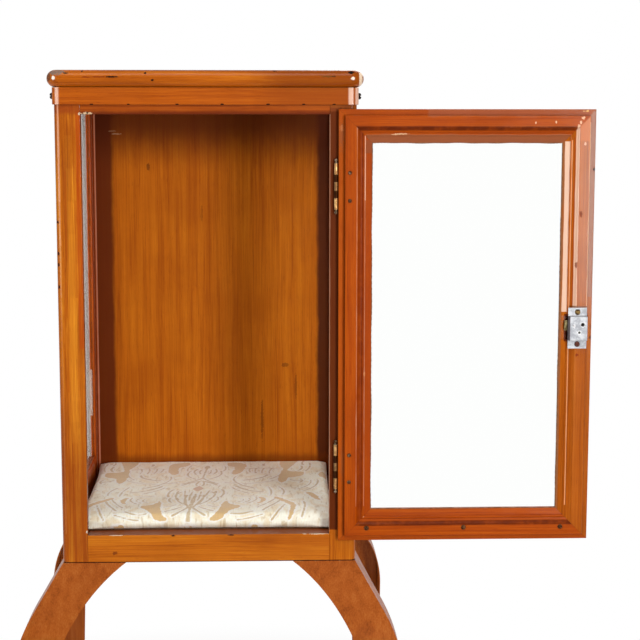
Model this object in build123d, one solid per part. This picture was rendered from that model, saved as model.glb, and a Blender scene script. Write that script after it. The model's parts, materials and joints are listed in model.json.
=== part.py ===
from build123d import *
import os

# Glazed steel medicine cabinet on four flared legs, its door swung fully open.
# Millimetres. X runs to the right, Y towards the back, Z up. The origin is on the floor,
# midway between the four feet.

# Overall sizes
BODY_WIDTH = 406.0
BODY_DEPTH = 368.0
BODY_HEIGHT = 652.0
LEG_HEIGHT = 560.0
SHEET = 1.2
CORNER_RADIUS = 8.0
FOLD_RADIUS = 1.0
FACE_GAP = 0.3

# Front opening
LATCH_STILE_WIDTH = 35.1
HINGE_STILE_WIDTH = 36.6
SILL_HEIGHT = 37.4
TOP_RAIL_HEIGHT = 35.8
FRONT_RAIL_DEPTH = 14.0
SILL_DEPTH = 30.0

# Side frames and side glass
SIDE_FRAME_DEPTH = 12.5
SIDE_STILE_WIDTH = 38.0
SIDE_BOTTOM_RAIL_HEIGHT = 75.0
SIDE_TOP_RAIL_HEIGHT = 30.0
GLASS_THICKNESS = 3.0
SIDE_GLASS_INSET = 7.5
REBATE_WIDTH = 8.0
BEAD_PROUD = 2.0
BEAD_THICKNESS = 3.6
BEAD_ROUNDING = 1.4

# Back frame, back panel, floor and ceiling
REAR_FRAME_DEPTH = 5.0
REAR_STILE_WIDTH = 47.0
PANEL_THICKNESS = 1.0
FLOOR_DROP = 1.2
CEILING_RISE = 18.0
TRAY_FLANGE = 12.0
BASE_THICKNESS = 1.5
BASE_INSET = 1.2

# Cap and skirt
CAP_HEIGHT = 23.0
CAP_OVERHANG = 9.4
CAP_CORNER_RADIUS = 20.0
CAP_EDGE_FLAT = 0.2
CAP_MOUTH_INSET = 20.0
SKIRT_HEIGHT = 23.0
SKIRT_THICKNESS = 2.2
SKIRT_SCREW_SETBACK = 16.0
SKIRT_HEAD_RADIUS = 4.3
SKIRT_HEAD_HEIGHT = 3.9
SKIRT_HEAD_ROUNDING = 2.6
SKIRT_SLOT_DEPTH = 1.4
SKIRT_SLOT_WIDTH = 1.2

# Door
DOOR_LATCH_LAP = 7.6
DOOR_LAP = 7.3
DOOR_LIP_WIDTH = 8.4
DOOR_LIP_THICKNESS = 7.8
DOOR_THICKNESS = 16.0
DOOR_MEMBER_WIDTH = 44.5
DOOR_FLAT_WIDTH = 15.6
COVE_WIDTH = 7.5
COVE_FOOT = 11.6
COVE_MIDDLE = (3.2, 13.0)
ASTRAGAL_WIDTH = 4.5
ASTRAGAL_FOOT = 11.2
ASTRAGAL_MIDDLE = (2.2, 13.2)
PUTTY_WIDTH = 2.0
PUTTY_THICKNESS = 1.6
GLASS_EDGE_GAP = 1.0
DOOR_STILE_GAP = 0.6
DOOR_GLASS_SETBACK = 3.8
DOOR_RAIL_SCREW_LINE = 19.5
DOOR_RAIL_SCREW_MARGIN = 39.0
DOOR_RAIL_SCREW_LENGTH = 8.0

# Hinges
HINGE_AXIS_PROUD = 5.0
HINGE_AXIS_INSET = 28.2
HINGE_EDGE_GAP = 3.3
HINGE_LENGTH = 62.0
HINGE_SETBACK = 103.5
BARREL_RADIUS = 2.4
PIN_RADIUS = 1.25
PIN_CLEARANCE = 0.05
KNUCKLE_LENGTHS = (15.0, 10.5, 11.0, 10.5, 15.0)
KNUCKLE_GAP = 0.2
PIN_NECK = 2.4
PIN_COLLAR = 0.9
PIN_COLLAR_RADIUS = 2.1
PIN_BALL_RADIUS = 2.3
PIN_BALL_RISE = 4.2
LEAF_THICKNESS = 1.2
LEAF_WIDTH = 20.0
LEAF_WEB = (-0.6, 2.0)
LEAF_BARREL_GAP = 0.4
LEAF_SLOT_GAP = 0.1
LEAF_SCREW_STEPS = (-22.5, -7.5, 7.5, 22.5)
LEAF_SCREW_COLUMNS = (14.5, 8.0)
LEAF_SCREW_HEAD = 3.0
LEAF_SCREW_LENGTH = 6.0
RIVET_SPACING = 37.6
RIVET_INSET = 14.7
RIVET_HEAD_RADIUS = 2.6
RIVET_HEAD_HEIGHT = 1.2
RIVET_TAIL_RADIUS = 2.3
RIVET_TAIL_HEIGHT = 0.8

# Lock
LOCK_RISE = 0.7
LOCK_PLATE_WIDTH = 25.4
LOCK_PLATE_HEIGHT = 55.9
LOCK_PLATE_THICKNESS = 1.6
LOCK_CASE_WIDTH = 24.0
LOCK_CASE_HEIGHT = 32.9
LOCK_CASE_PROUD = 6.5
LOCK_WALL = 1.4
LOCK_EDGE_GAP = 0.2
LOCK_ROUNDING = 0.8
LOCK_SCREW_SPACING = 44.0
LOCK_SCREW_LENGTH = 7.0
LOCK_BOSS = (5.2, -0.4)
LOCK_BOSS_RADIUS = 2.4
LOCK_BOSS_HEIGHT = 1.0
LOCK_EYE = (-4.4, -10.8)
LOCK_EYE_RADIUS = 1.1
MORTISE_WIDTH = 33.0
MORTISE_HEIGHT = 32.8
MORTISE_DEPTH = 6.9
BOLT_LENGTH = 29.0
BOLT_HEIGHT = 13.4
BOLT_THICKNESS = 3.6
BOLT_TRAVEL = 7.0
BOLT_CLEARANCE = 0.3
BOLT_RISE = 3.5
BOLT_FLOOR = 1.4
BOLT_ROUNDING = 0.6
KEEPER_CLEARANCE = 1.0
PLUG_RADIUS = 5.5
PLUG_STEM_RADIUS = 1.6
PLUG_GAP = 0.3
PLUG_STEM_GAP = 0.5
PLUG_HEAD = 1.0
KEYWAY_WIDTH = 1.2
KEYWAY_HEIGHT = 7.0
KEYWAY_DEPTH = 1.8
PLUG_RISE = 5.6
PLUG_SETBACK = 6.6
ESCUTCHEON_RADIUS = 9.0
ESCUTCHEON_THICKNESS = 1.2
ESCUTCHEON_ROUNDING = 0.8

# Pad
PAD_LEFT_GAP = 4.9
PAD_RIGHT_GAP = 12.9
PAD_BACK_GAP = 4.0
PAD_OVERHANG = 4.0
PAD_THICKNESS = 18.0
PAD_CROWN = 3.0
PAD_CROWN_INSET = 120.0
PAD_SHOULDER_INSET = 70.0
PAD_SIDE_DRAW = 2.5
BOARD_THICKNESS = 3.0
BOARD_INSET = 7.0

# Legs
LEG_FLARE = 64.0
LEG_STRAIGHT = 62.0
LEG_KNEE = 152.0
LEG_SLOPE = 0.62
LEG_SHEET = 1.6
LEG_TOP_WIDTH = 87.0
LEG_SHIN_DROP = 200.0
LEG_SHIN_WIDTH = 45.0
LEG_ANKLE_WIDTH = 34.0
LEG_PLATE_WIDTH = 72.0
LEG_PLATE_LAP = 0.5
LEG_BOLT_INSETS = (24.0, 56.0)
LEG_BOLT_SETBACK = 22.0
FOOT_PLATE = 3.0
GLIDE_RADIUS = 11.0
GLIDE_HEIGHT = 8.0
GLIDE_ROUNDING = 4.8
GLIDE_STEM_LENGTH = 6.0

# Small fasteners
SCREW_RADIUS = 1.6
SHANK_FIT = 0.05
FACE_SCREW_HEADS = {"rail": (3.3, 1.5), "lock": (3.7, 1.1)}
FACE_SLOT_DEPTH = 0.8
FACE_SLOT_WIDTH = 0.9
FACE_SLOT_TURN = 25.0
RIVET_RADIUS = 1.5
BOLT_SHANK_RADIUS = 3.0
BOLT_SHANK_FIT = 0.1
BOLT_HEAD_RADIUS = 5.2
BOLT_HEAD_HEIGHT = 3.6
BOLT_HEAD_ROUNDING = 2.0
BOLT_REACH = 6.0
NUT_RADIUS = 5.5
NUT_HEIGHT = 4.0

# Places worked out from the sizes above
HALF_WIDTH = BODY_WIDTH / 2
FRONT = -BODY_DEPTH / 2
BACK = BODY_DEPTH / 2
BASE = LEG_HEIGHT
TOP = BASE + BODY_HEIGHT
OPENING_LEFT = -HALF_WIDTH + LATCH_STILE_WIDTH
OPENING_RIGHT = HALF_WIDTH - HINGE_STILE_WIDTH
OPENING_LOW = BASE + SILL_HEIGHT
OPENING_HIGH = TOP - TOP_RAIL_HEIGHT
INNER_WALL = HALF_WIDTH - SIDE_FRAME_DEPTH
GLASS_OUTER = HALF_WIDTH - SIDE_GLASS_INSET
GLASS_INNER = GLASS_OUTER - GLASS_THICKNESS
SIDE_LOW = BASE + SIDE_BOTTOM_RAIL_HEIGHT
SIDE_HIGH = TOP - SIDE_TOP_RAIL_HEIGHT
PANEL_BACK = BACK - REAR_FRAME_DEPTH
PANEL_FRONT = PANEL_BACK - PANEL_THICKNESS
FLOOR_TOP = OPENING_LOW - FLOOR_DROP
CEILING_LOW = OPENING_HIGH + CEILING_RISE
HINGE_X = HALF_WIDTH - HINGE_AXIS_INSET
HINGE_Y = FRONT - HINGE_AXIS_PROUD
DOOR_LEFT = HINGE_X + HINGE_EDGE_GAP
DOOR_WIDTH = HINGE_X - HINGE_EDGE_GAP - OPENING_LEFT + DOOR_LATCH_LAP
DOOR_RIGHT = DOOR_LEFT + DOOR_WIDTH
DOOR_LOW = OPENING_LOW - DOOR_LAP
DOOR_HIGH = OPENING_HIGH + DOOR_LAP
DOOR_BACK = HINGE_Y - HINGE_AXIS_PROUD + DOOR_STILE_GAP + DOOR_LIP_THICKNESS
RAISED_EDGE = DOOR_RIGHT - DOOR_LIP_WIDTH
LOCK_Z = (DOOR_LOW + DOOR_HIGH) / 2 + LOCK_RISE
PLATE_RIGHT = RAISED_EDGE - LOCK_EDGE_GAP
PLATE_MIDDLE = PLATE_RIGHT - LOCK_PLATE_WIDTH / 2
PLATE_LEFT = PLATE_RIGHT - LOCK_PLATE_WIDTH
BOLT_RIGHT = RAISED_EDGE - SHEET
BOLT_Z = LOCK_Z + BOLT_RISE
BOLT_DEPTH = MORTISE_DEPTH - BOLT_FLOOR
PLUG_X = PLATE_RIGHT - PLUG_SETBACK
PLUG_Z = LOCK_Z + PLUG_RISE
BEAD_FACE = GLASS_INNER - BEAD_THICKNESS
PAD_LEFT = -BEAD_FACE + PAD_LEFT_GAP
PAD_RIGHT = BEAD_FACE - PAD_RIGHT_GAP
PAD_NEAR = FRONT + SILL_DEPTH - PAD_OVERHANG
PAD_FAR = PANEL_FRONT - PAD_BACK_GAP


def block(x, y, z):
    """A box between the low and high values of each axis."""
    size = (x[1] - x[0], y[1] - y[0], z[1] - z[0])
    middle = ((x[0] + x[1]) / 2, (y[0] + y[1]) / 2, (z[0] + z[1]) / 2)
    return Pos(*middle) * Box(*size)


def rod(radius, length, centre, direction):
    """A cylinder that starts at centre and runs along direction."""
    return Plane(origin=centre, z_dir=direction) * Cylinder(
        radius, length, align=(Align.CENTER, Align.CENTER, Align.MIN)
    )


def mirrored(shape, side):
    """The shape as drawn for the right, or its mirror image for the left."""
    return shape if side > 0 else mirror(shape, about=Plane.YZ)


def turned_back(shape, end):
    """The shape as drawn for the front, or its mirror image for the back."""
    return shape if end < 0 else mirror(shape, about=Plane.XZ)


def save(name, shape):
    """Writes one sub-part under its node's name."""
    shape.label = name
    export_step(shape, f"parts/{name}.step")


def group(shapes):
    """Separate solids that share one node."""
    return Compound(children=[solid for shape in shapes for solid in shape.solids()])


def prism(points, z_low, z_high):
    """An upright prism over a plan outline."""
    face = make_face(Polyline(*points, close=True))
    return Pos(0, 0, z_low) * extrude(face, amount=z_high - z_low)


def post(face_width, face_depth, side, end):
    """A corner post: two folded tubes in an L, rounded outside, rebated for the side glass."""
    outer = (
        (HALF_WIDTH, FRONT),
        (HALF_WIDTH, FRONT + SIDE_STILE_WIDTH),
        (GLASS_OUTER, FRONT + SIDE_STILE_WIDTH),
        (GLASS_OUTER, FRONT + SIDE_STILE_WIDTH - REBATE_WIDTH),
        (INNER_WALL, FRONT + SIDE_STILE_WIDTH - REBATE_WIDTH),
        (INNER_WALL, FRONT + face_depth),
        (HALF_WIDTH - face_width, FRONT + face_depth),
        (HALF_WIDTH - face_width, FRONT),
    )
    inner = (
        (HALF_WIDTH - SHEET, FRONT + SHEET),
        (HALF_WIDTH - SHEET, FRONT + SIDE_STILE_WIDTH - SHEET),
        (GLASS_OUTER + SHEET, FRONT + SIDE_STILE_WIDTH - SHEET),
        (GLASS_OUTER + SHEET, FRONT + SIDE_STILE_WIDTH - REBATE_WIDTH - SHEET),
        (INNER_WALL + SHEET, FRONT + SIDE_STILE_WIDTH - REBATE_WIDTH - SHEET),
        (INNER_WALL + SHEET, FRONT + face_depth - SHEET),
        (HALF_WIDTH - face_width + SHEET, FRONT + face_depth - SHEET),
        (HALF_WIDTH - face_width + SHEET, FRONT + SHEET),
    )
    shell = prism(outer, BASE, TOP)
    shell = fillet(upright_edge(shell, HALF_WIDTH, FRONT), CORNER_RADIUS)
    shell = fillet(upright_edge(shell, HALF_WIDTH - face_width, FRONT), FOLD_RADIUS)
    shell = fillet(upright_edge(shell, HALF_WIDTH, FRONT + SIDE_STILE_WIDTH), FOLD_RADIUS)
    hollow = prism(inner, BASE, TOP)
    hollow = fillet(
        upright_edge(hollow, HALF_WIDTH - SHEET, FRONT + SHEET), CORNER_RADIUS - SHEET
    )
    return mirrored(turned_back(shell - hollow, end), side)


def upright_edge(shape, x, y):
    """The vertical edge of a prism at one place in plan."""
    return shape.edges().filter_by(Axis.Z).sort_by_distance(Vector(x, y, BASE))[0]


def posts():
    """The four corner posts, the left front one slotted for the lock's bolt."""
    keeper = block(
        (OPENING_LEFT - 2 * SHEET, OPENING_LEFT + SHEET),
        bolt_depth_when_shut(),
        (BOLT_Z - BOLT_HEIGHT / 2 - KEEPER_CLEARANCE, BOLT_Z + BOLT_HEIGHT / 2 + KEEPER_CLEARANCE),
    )
    left = post(LATCH_STILE_WIDTH, FRONT_RAIL_DEPTH, -1, -1) - keeper
    right = post(HINGE_STILE_WIDTH, FRONT_RAIL_DEPTH, 1, -1)
    for x, y, z in leaf_screw_places():
        right -= rod(SCREW_RADIUS, 2 * SHEET, (x, FRONT - SHEET / 2, z), (0, 1, 0))
    rear = {
        name: post(REAR_STILE_WIDTH, REAR_FRAME_DEPTH, side, 1)
        for name, side in (("left", -1), ("right", 1))
    }
    shafts = {
        place: rod(SCREW_RADIUS, skirt_screw_length() + SHEET, centre, direction)
        for place, centre, direction in skirt_screw_places()
    }
    save("post_front_left", left - shafts["front_left"])
    save("post_front_right", right - shafts["front_right"])
    save("post_rear_left", rear["left"] - shafts["rear_left"])
    save("post_rear_right", rear["right"] - shafts["rear_right"])


def bolt_depth_when_shut():
    """Where the thrown bolt lies behind the stile's face when the door is shut."""
    raised_face = FRONT + DOOR_THICKNESS - DOOR_LIP_THICKNESS - DOOR_STILE_GAP
    near = raised_face - BOLT_DEPTH
    return (near - KEEPER_CLEARANCE, near + BOLT_THICKNESS + KEEPER_CLEARANCE)


def rails():
    """The box-section rails between the posts, front, sides and back."""
    across = (OPENING_LEFT, OPENING_RIGHT)
    top = tube_along_x(across, (FRONT, FRONT + FRONT_RAIL_DEPTH), (OPENING_HIGH, TOP))
    save("front_top_rail", fillet(level_edge(top, FRONT, OPENING_HIGH), FOLD_RADIUS))
    sill = tube_along_x(across, (FRONT, FRONT + SILL_DEPTH), (BASE, OPENING_LOW))
    save("front_bottom_rail", fillet(level_edge(sill, FRONT, OPENING_LOW), FOLD_RADIUS))
    behind = (-HALF_WIDTH + REAR_STILE_WIDTH, HALF_WIDTH - REAR_STILE_WIDTH)
    depth = (PANEL_BACK, BACK)
    save("rear_top_rail", tube_along_x(behind, depth, (TOP - REAR_STILE_WIDTH, TOP)))
    save("rear_bottom_rail", tube_along_x(behind, depth, (BASE, BASE + REAR_STILE_WIDTH)))
    for name, side in (("left", -1), ("right", 1)):
        save(f"side_bottom_rail_{name}", mirrored(side_rail(SIDE_LOW, BASE), side))
        save(f"side_top_rail_{name}", mirrored(side_rail(SIDE_HIGH, TOP), side))


def level_edge(shape, y, z):
    """The edge of a shape that runs along X at one place in side view."""
    return shape.edges().filter_by(Axis.X).sort_by_distance(Vector(0, y, z))[0]


def tube_along_x(x, y, z):
    """A rail of box section between two posts."""
    inside = block(x, (y[0] + SHEET, y[1] - SHEET), (z[0] + SHEET, z[1] - SHEET))
    return block(x, y, z) - inside


def side_rail(sight, far):
    """A side rail drawn for the right: box section, rebated at the sight edge for the glass."""
    step = REBATE_WIDTH if far < sight else -REBATE_WIDTH
    wall = SHEET if far < sight else -SHEET
    outer = (
        (HALF_WIDTH, far),
        (HALF_WIDTH, sight),
        (GLASS_OUTER, sight),
        (GLASS_OUTER, sight - step),
        (INNER_WALL, sight - step),
        (INNER_WALL, far),
    )
    inner = (
        (HALF_WIDTH - SHEET, far + wall),
        (HALF_WIDTH - SHEET, sight - wall),
        (GLASS_OUTER + SHEET, sight - wall),
        (GLASS_OUTER + SHEET, sight - step - wall),
        (INNER_WALL + SHEET, sight - step - wall),
        (INNER_WALL + SHEET, far + wall),
    )
    shell = along_y(outer)
    edge = shell.edges().filter_by(Axis.Y).sort_by_distance(Vector(HALF_WIDTH, 0, sight))[0]
    return fillet(edge, FOLD_RADIUS) - along_y(inner)


def along_y(points):
    """A side rail's outline carried from the front post to the rear post."""
    face = make_face(Polyline(*points, close=True))
    length = BODY_DEPTH - 2 * SIDE_STILE_WIDTH
    return Pos(0, FRONT + SIDE_STILE_WIDTH + length, 0) * extrude(Plane.XZ * face, amount=length)


def side_glazing():
    """Each side's glass in its rebate, with four strips of bead that hold it from inside."""
    low = SIDE_LOW - REBATE_WIDTH
    high = SIDE_HIGH + REBATE_WIDTH
    near = FRONT + SIDE_STILE_WIDTH - REBATE_WIDTH
    far = BACK - SIDE_STILE_WIDTH + REBATE_WIDTH
    face = (GLASS_INNER - BEAD_THICKNESS, GLASS_INNER)
    width = REBATE_WIDTH + BEAD_PROUD
    uprights = [
        block(face, (near, near + width), (low, high)),
        block(face, (far - width, far), (low, high)),
    ]
    levels = [
        block(face, (near + width, far - width), (low, low + width)),
        block(face, (near + width, far - width), (high - width, high)),
    ]
    beads = [rounded_bead(strip) for strip in uprights + levels]
    pane = block((GLASS_INNER, GLASS_OUTER), (near, far), (low, high))
    for name, side in (("left", -1), ("right", 1)):
        save(f"side_glass_{name}", mirrored(pane, side))
        save(f"side_bead_{name}", group([mirrored(bead, side) for bead in beads]))


def rounded_bead(strip):
    """A bead strip with its two long inner edges rounded."""
    size = strip.bounding_box().size
    axis = Axis.Z if size.Z > size.Y else Axis.Y
    edges = strip.edges().filter_by(axis).sort_by(Axis.X)[:2]
    return fillet(edges, BEAD_ROUNDING)


def panels():
    """The back panel, the floor tray, the ceiling and the base."""
    save("back_panel", block((-INNER_WALL, INNER_WALL), (PANEL_FRONT, PANEL_BACK), (BASE, TOP)))
    save("floor_pan", tray(FLOOR_TOP, -TRAY_FLANGE, FRONT + SILL_DEPTH))
    save("ceiling_panel", tray(CEILING_LOW, TRAY_FLANGE, FRONT + FRONT_RAIL_DEPTH))
    edge = BASE_INSET
    base = block(
        (-HALF_WIDTH + edge, HALF_WIDTH - edge),
        (FRONT + edge, BACK - edge),
        (BASE - BASE_THICKNESS, BASE),
    )
    base = fillet(base.edges().filter_by(Axis.Z), CORNER_RADIUS - edge)
    for x, y in leg_bolt_places():
        base -= rod(BOLT_SHANK_RADIUS, BASE_THICKNESS, (x, y, BASE - BASE_THICKNESS), (0, 0, 1))
    save("base_panel", base)


def tray(face, turn, near):
    """A level sheet whose four edges turn away from its face, fitted between the inner walls."""
    x = (-INNER_WALL, INNER_WALL)
    y = (near, PANEL_FRONT)
    sheet = SHEET if turn > 0 else -SHEET
    whole = block(x, y, sorted((face, face + turn)))
    inside = block(
        (x[0] + SHEET, x[1] - SHEET),
        (y[0] + SHEET, y[1] - SHEET),
        sorted((face + sheet, face + turn)),
    )
    return whole - inside


def cap_and_skirt():
    """The pressed top with its rolled edge, over the skirt band and its side screws."""
    reach = HALF_WIDTH + CAP_OVERHANG
    depth = BODY_DEPTH / 2 + CAP_OVERHANG
    roll = (CAP_HEIGHT - CAP_EDGE_FLAT) / 2
    outer = rolled_plate(reach, depth, TOP, TOP + CAP_HEIGHT, CAP_CORNER_RADIUS, roll)
    inner = rolled_plate(
        reach - SHEET,
        depth - SHEET,
        TOP + SHEET,
        TOP + CAP_HEIGHT - SHEET,
        CAP_CORNER_RADIUS - SHEET,
        roll - SHEET,
    )
    mouth = block(
        (-INNER_WALL, INNER_WALL),
        (FRONT + CAP_MOUTH_INSET, BACK - CAP_MOUTH_INSET),
        (TOP - SHEET, TOP + 2 * SHEET),
    )
    save("top_cap", outer - inner - mouth)
    band = ring_plate(HALF_WIDTH + SKIRT_THICKNESS + FACE_GAP, CORNER_RADIUS + SKIRT_THICKNESS)
    band -= ring_plate(HALF_WIDTH + FACE_GAP, CORNER_RADIUS + FACE_GAP)
    screws = []
    for place, centre, direction in skirt_screw_places():
        band -= rod(SCREW_RADIUS, SKIRT_THICKNESS, centre, direction)
        screws.append(skirt_screw(centre, direction))
    rims = band.edges().sort_by_distance(Vector(0, FRONT - SKIRT_THICKNESS, TOP - SKIRT_HEIGHT))
    save("top_skirt", fillet(rims[0], FOLD_RADIUS))
    save("skirt_screws", group(screws))


def rolled_plate(half_x, half_y, low, high, corner, roll):
    """A plate with rounded plan corners and a rolled edge all round."""
    plate = block((-half_x, half_x), (-half_y, half_y), (low, high))
    plate = fillet(plate.edges().filter_by(Axis.Z), corner)
    rim = plate.faces().sort_by(Axis.Z)[0].edges() + plate.faces().sort_by(Axis.Z)[-1].edges()
    return fillet(rim, roll)


def ring_plate(half_x, radius):
    """The skirt's plan at one half width, over its height."""
    half_y = half_x - HALF_WIDTH + BODY_DEPTH / 2
    plate = block((-half_x, half_x), (-half_y, half_y), (TOP - SKIRT_HEIGHT, TOP))
    return fillet(plate.edges().filter_by(Axis.Z), radius)


def skirt_screw_places():
    """Name, start and direction of each screw through the skirt's sides, near the corners."""
    z = TOP - SKIRT_HEIGHT / 2
    x = HALF_WIDTH + SKIRT_THICKNESS + FACE_GAP
    places = []
    for end, y in (("front", FRONT + SKIRT_SCREW_SETBACK), ("rear", BACK - SKIRT_SCREW_SETBACK)):
        places.append((f"{end}_left", (-x, y, z), (1, 0, 0)))
        places.append((f"{end}_right", (x, y, z), (-1, 0, 0)))
    return places


def skirt_screw_length():
    """How far a skirt screw reaches in, through the skirt and a little past the post's wall."""
    return SKIRT_THICKNESS + FACE_GAP + 2 * SHEET


def skirt_screw(centre, direction):
    """A round-head slotted screw that stands proud of the skirt."""
    outward = (-direction[0], 0, 0)
    head = rod(SKIRT_HEAD_RADIUS, SKIRT_HEAD_HEIGHT, centre, outward)
    rim = head.edges().filter_by(GeomType.CIRCLE).sort_by(Axis.X)
    head = fillet(rim[-1] if outward[0] > 0 else rim[0], SKIRT_HEAD_ROUNDING)
    shaft = rod(SCREW_RADIUS - SHANK_FIT, skirt_screw_length(), centre, direction)
    tip = centre[0] + outward[0] * SKIRT_HEAD_HEIGHT
    slot = block(
        sorted((tip, tip - outward[0] * SKIRT_SLOT_DEPTH)),
        (centre[1] - 2 * SKIRT_HEAD_RADIUS, centre[1] + 2 * SKIRT_HEAD_RADIUS),
        (centre[2] - SKIRT_SLOT_WIDTH / 2, centre[2] + SKIRT_SLOT_WIDTH / 2),
    )
    return head + shaft - slot


def door_y(depth):
    """The Y of a plane at a depth behind the door's outside face, the door standing open."""
    return DOOR_BACK - depth


def door_profile():
    """A door member's section: lip, raised flat, cove, astragal and slope down to the glass."""
    flat_end = DOOR_LIP_WIDTH + DOOR_FLAT_WIDTH
    cove_end = flat_end + COVE_WIDTH
    bead_end = cove_end + ASTRAGAL_WIDTH
    cove_middle = (flat_end + COVE_MIDDLE[0], COVE_MIDDLE[1])
    bead_middle = (cove_end + ASTRAGAL_MIDDLE[0], ASTRAGAL_MIDDLE[1])
    channel = DOOR_GLASS_SETBACK + GLASS_THICKNESS + 2 * FACE_GAP
    wall = DOOR_MEMBER_WIDTH - REBATE_WIDTH
    outline = [
        Line((0, 0), (DOOR_MEMBER_WIDTH, 0)),
        Line((DOOR_MEMBER_WIDTH, 0), (DOOR_MEMBER_WIDTH, DOOR_GLASS_SETBACK)),
        Line((DOOR_MEMBER_WIDTH, DOOR_GLASS_SETBACK), (wall, DOOR_GLASS_SETBACK)),
        Line((wall, DOOR_GLASS_SETBACK), (wall, channel)),
        Line((wall, channel), (DOOR_MEMBER_WIDTH, channel)),
        Line((DOOR_MEMBER_WIDTH, channel), (DOOR_MEMBER_WIDTH, channel + SHEET)),
        Line((DOOR_MEMBER_WIDTH, channel + SHEET), (bead_end, ASTRAGAL_FOOT)),
        ThreePointArc((bead_end, ASTRAGAL_FOOT), bead_middle, (cove_end, COVE_FOOT)),
        ThreePointArc((cove_end, COVE_FOOT), cove_middle, (flat_end, DOOR_THICKNESS)),
        Line((flat_end, DOOR_THICKNESS), (DOOR_LIP_WIDTH, DOOR_THICKNESS)),
        Line((DOOR_LIP_WIDTH, DOOR_THICKNESS), (DOOR_LIP_WIDTH, DOOR_LIP_THICKNESS)),
        Line((DOOR_LIP_WIDTH, DOOR_LIP_THICKNESS), (0, DOOR_LIP_THICKNESS)),
        Line((0, DOOR_LIP_THICKNESS), (0, 0)),
    ]
    face = make_face(outline)
    corners = ((0, DOOR_LIP_THICKNESS), (DOOR_LIP_WIDTH, DOOR_THICKNESS), (0, 0))
    vertices = [face.vertices().sort_by_distance(Vector(x, y, 0))[0] for x, y in corners]
    return fillet(vertices, FOLD_RADIUS)


def door_hollow():
    """The space inside a door member, between its two folded sheets."""
    flat_end = DOOR_LIP_WIDTH + DOOR_FLAT_WIDTH
    wall = DOOR_MEMBER_WIDTH - REBATE_WIDTH - SHEET
    points = (
        (SHEET, SHEET),
        (wall, SHEET),
        (wall, ASTRAGAL_FOOT - SHEET),
        (flat_end + SHEET, COVE_FOOT - SHEET / 4),
        (flat_end - SHEET, DOOR_THICKNESS - SHEET),
        (DOOR_LIP_WIDTH + SHEET, DOOR_THICKNESS - SHEET),
        (DOOR_LIP_WIDTH + SHEET, DOOR_LIP_THICKNESS - SHEET),
        (SHEET, DOOR_LIP_THICKNESS - SHEET),
    )
    return make_face(Polyline(*points, close=True))


def door_member(corner, along, inward, length):
    """A mitred member whose outer edge starts at corner and runs along, its width inward."""
    plane = Plane(
        origin=(corner[0], door_y(0), corner[1]),
        x_dir=(inward[0], 0, inward[1]),
        z_dir=(along[0], 0, along[1]),
    )
    section = door_profile() - door_hollow()
    if plane.y_dir.Y > 0:
        section = mirror(section, about=Plane.XZ)
    bar = extrude(plane * section, amount=length)
    width = DOOR_MEMBER_WIDTH
    steps = ((0, 0), (length, 0), (length - width, width), (width, width))
    corners = [
        (corner[0] + a * along[0] + b * inward[0], corner[1] + a * along[1] + b * inward[1])
        for a, b in steps
    ]
    face = make_face(Polyline(*corners, close=True))
    mitre = extrude(Plane.XZ * face, amount=3 * DOOR_THICKNESS, both=True)
    return bar & (Pos(0, door_y(0), 0) * mitre)


def door():
    """The four mitred members, the glass, its putty and the screws of the bottom rail."""
    height = DOOR_HIGH - DOOR_LOW
    hinge_stile = door_member((DOOR_LEFT, DOOR_LOW), (0, 1), (1, 0), height)
    lock_stile = door_member((DOOR_RIGHT, DOOR_LOW), (0, 1), (-1, 0), height)
    top_rail = door_member((DOOR_LEFT, DOOR_HIGH), (1, 0), (0, -1), DOOR_WIDTH)
    bottom_rail = door_member((DOOR_LEFT, DOOR_LOW), (1, 0), (0, 1), DOOR_WIDTH)
    for z in hinge_heights():
        hinge_stile -= leaf_slot(z)
        for rivet in (-RIVET_SPACING / 2, RIVET_SPACING / 2):
            place = (DOOR_LEFT + RIVET_INSET, door_y(DOOR_THICKNESS), z + rivet)
            hinge_stile -= rod(RIVET_RADIUS + SHANK_FIT, 2 * SHEET, place, (0, 1, 0))
    screws = []
    for x in rail_screw_places():
        place = (x, door_y(DOOR_THICKNESS), DOOR_LOW + DOOR_RAIL_SCREW_LINE)
        bottom_rail -= rod(SCREW_RADIUS, 2 * SHEET, place, (0, 1, 0))
        screws.append(face_screw(place, *FACE_SCREW_HEADS["rail"], DOOR_RAIL_SCREW_LENGTH))
    save("door_hinge_stile", hinge_stile)
    save("door_lock_stile", lock_stile - lock_cuts())
    save("door_top_rail", top_rail)
    save("door_bottom_rail", bottom_rail)
    save("door_rail_screws", group(screws))
    hidden = DOOR_MEMBER_WIDTH - REBATE_WIDTH + GLASS_EDGE_GAP
    front = DOOR_GLASS_SETBACK + FACE_GAP
    pane = block(
        (DOOR_LEFT + hidden, DOOR_RIGHT - hidden),
        (door_y(front + GLASS_THICKNESS), door_y(front)),
        (DOOR_LOW + hidden, DOOR_HIGH - hidden),
    )
    save("door_glass", pane)
    save("door_putty", putty(front))


def putty(front):
    """A thin bead of putty all round the pane, just inside the members' sight edge."""
    sight = DOOR_MEMBER_WIDTH
    lip = PUTTY_WIDTH
    near = front + GLASS_THICKNESS
    far = near + PUTTY_THICKNESS
    outer = block(
        (DOOR_LEFT + sight, DOOR_RIGHT - sight),
        (door_y(far), door_y(near)),
        (DOOR_LOW + sight, DOOR_HIGH - sight),
    )
    inner = block(
        (DOOR_LEFT + sight + lip, DOOR_RIGHT - sight - lip),
        (door_y(far), door_y(near)),
        (DOOR_LOW + sight + lip, DOOR_HIGH - sight - lip),
    )
    return outer - inner


def rail_screw_places():
    """The X of the three screws in the door's bottom rail."""
    margin = DOOR_RAIL_SCREW_MARGIN
    return (DOOR_LEFT + margin, (DOOR_LEFT + DOOR_RIGHT) / 2, DOOR_RIGHT - margin)


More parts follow.
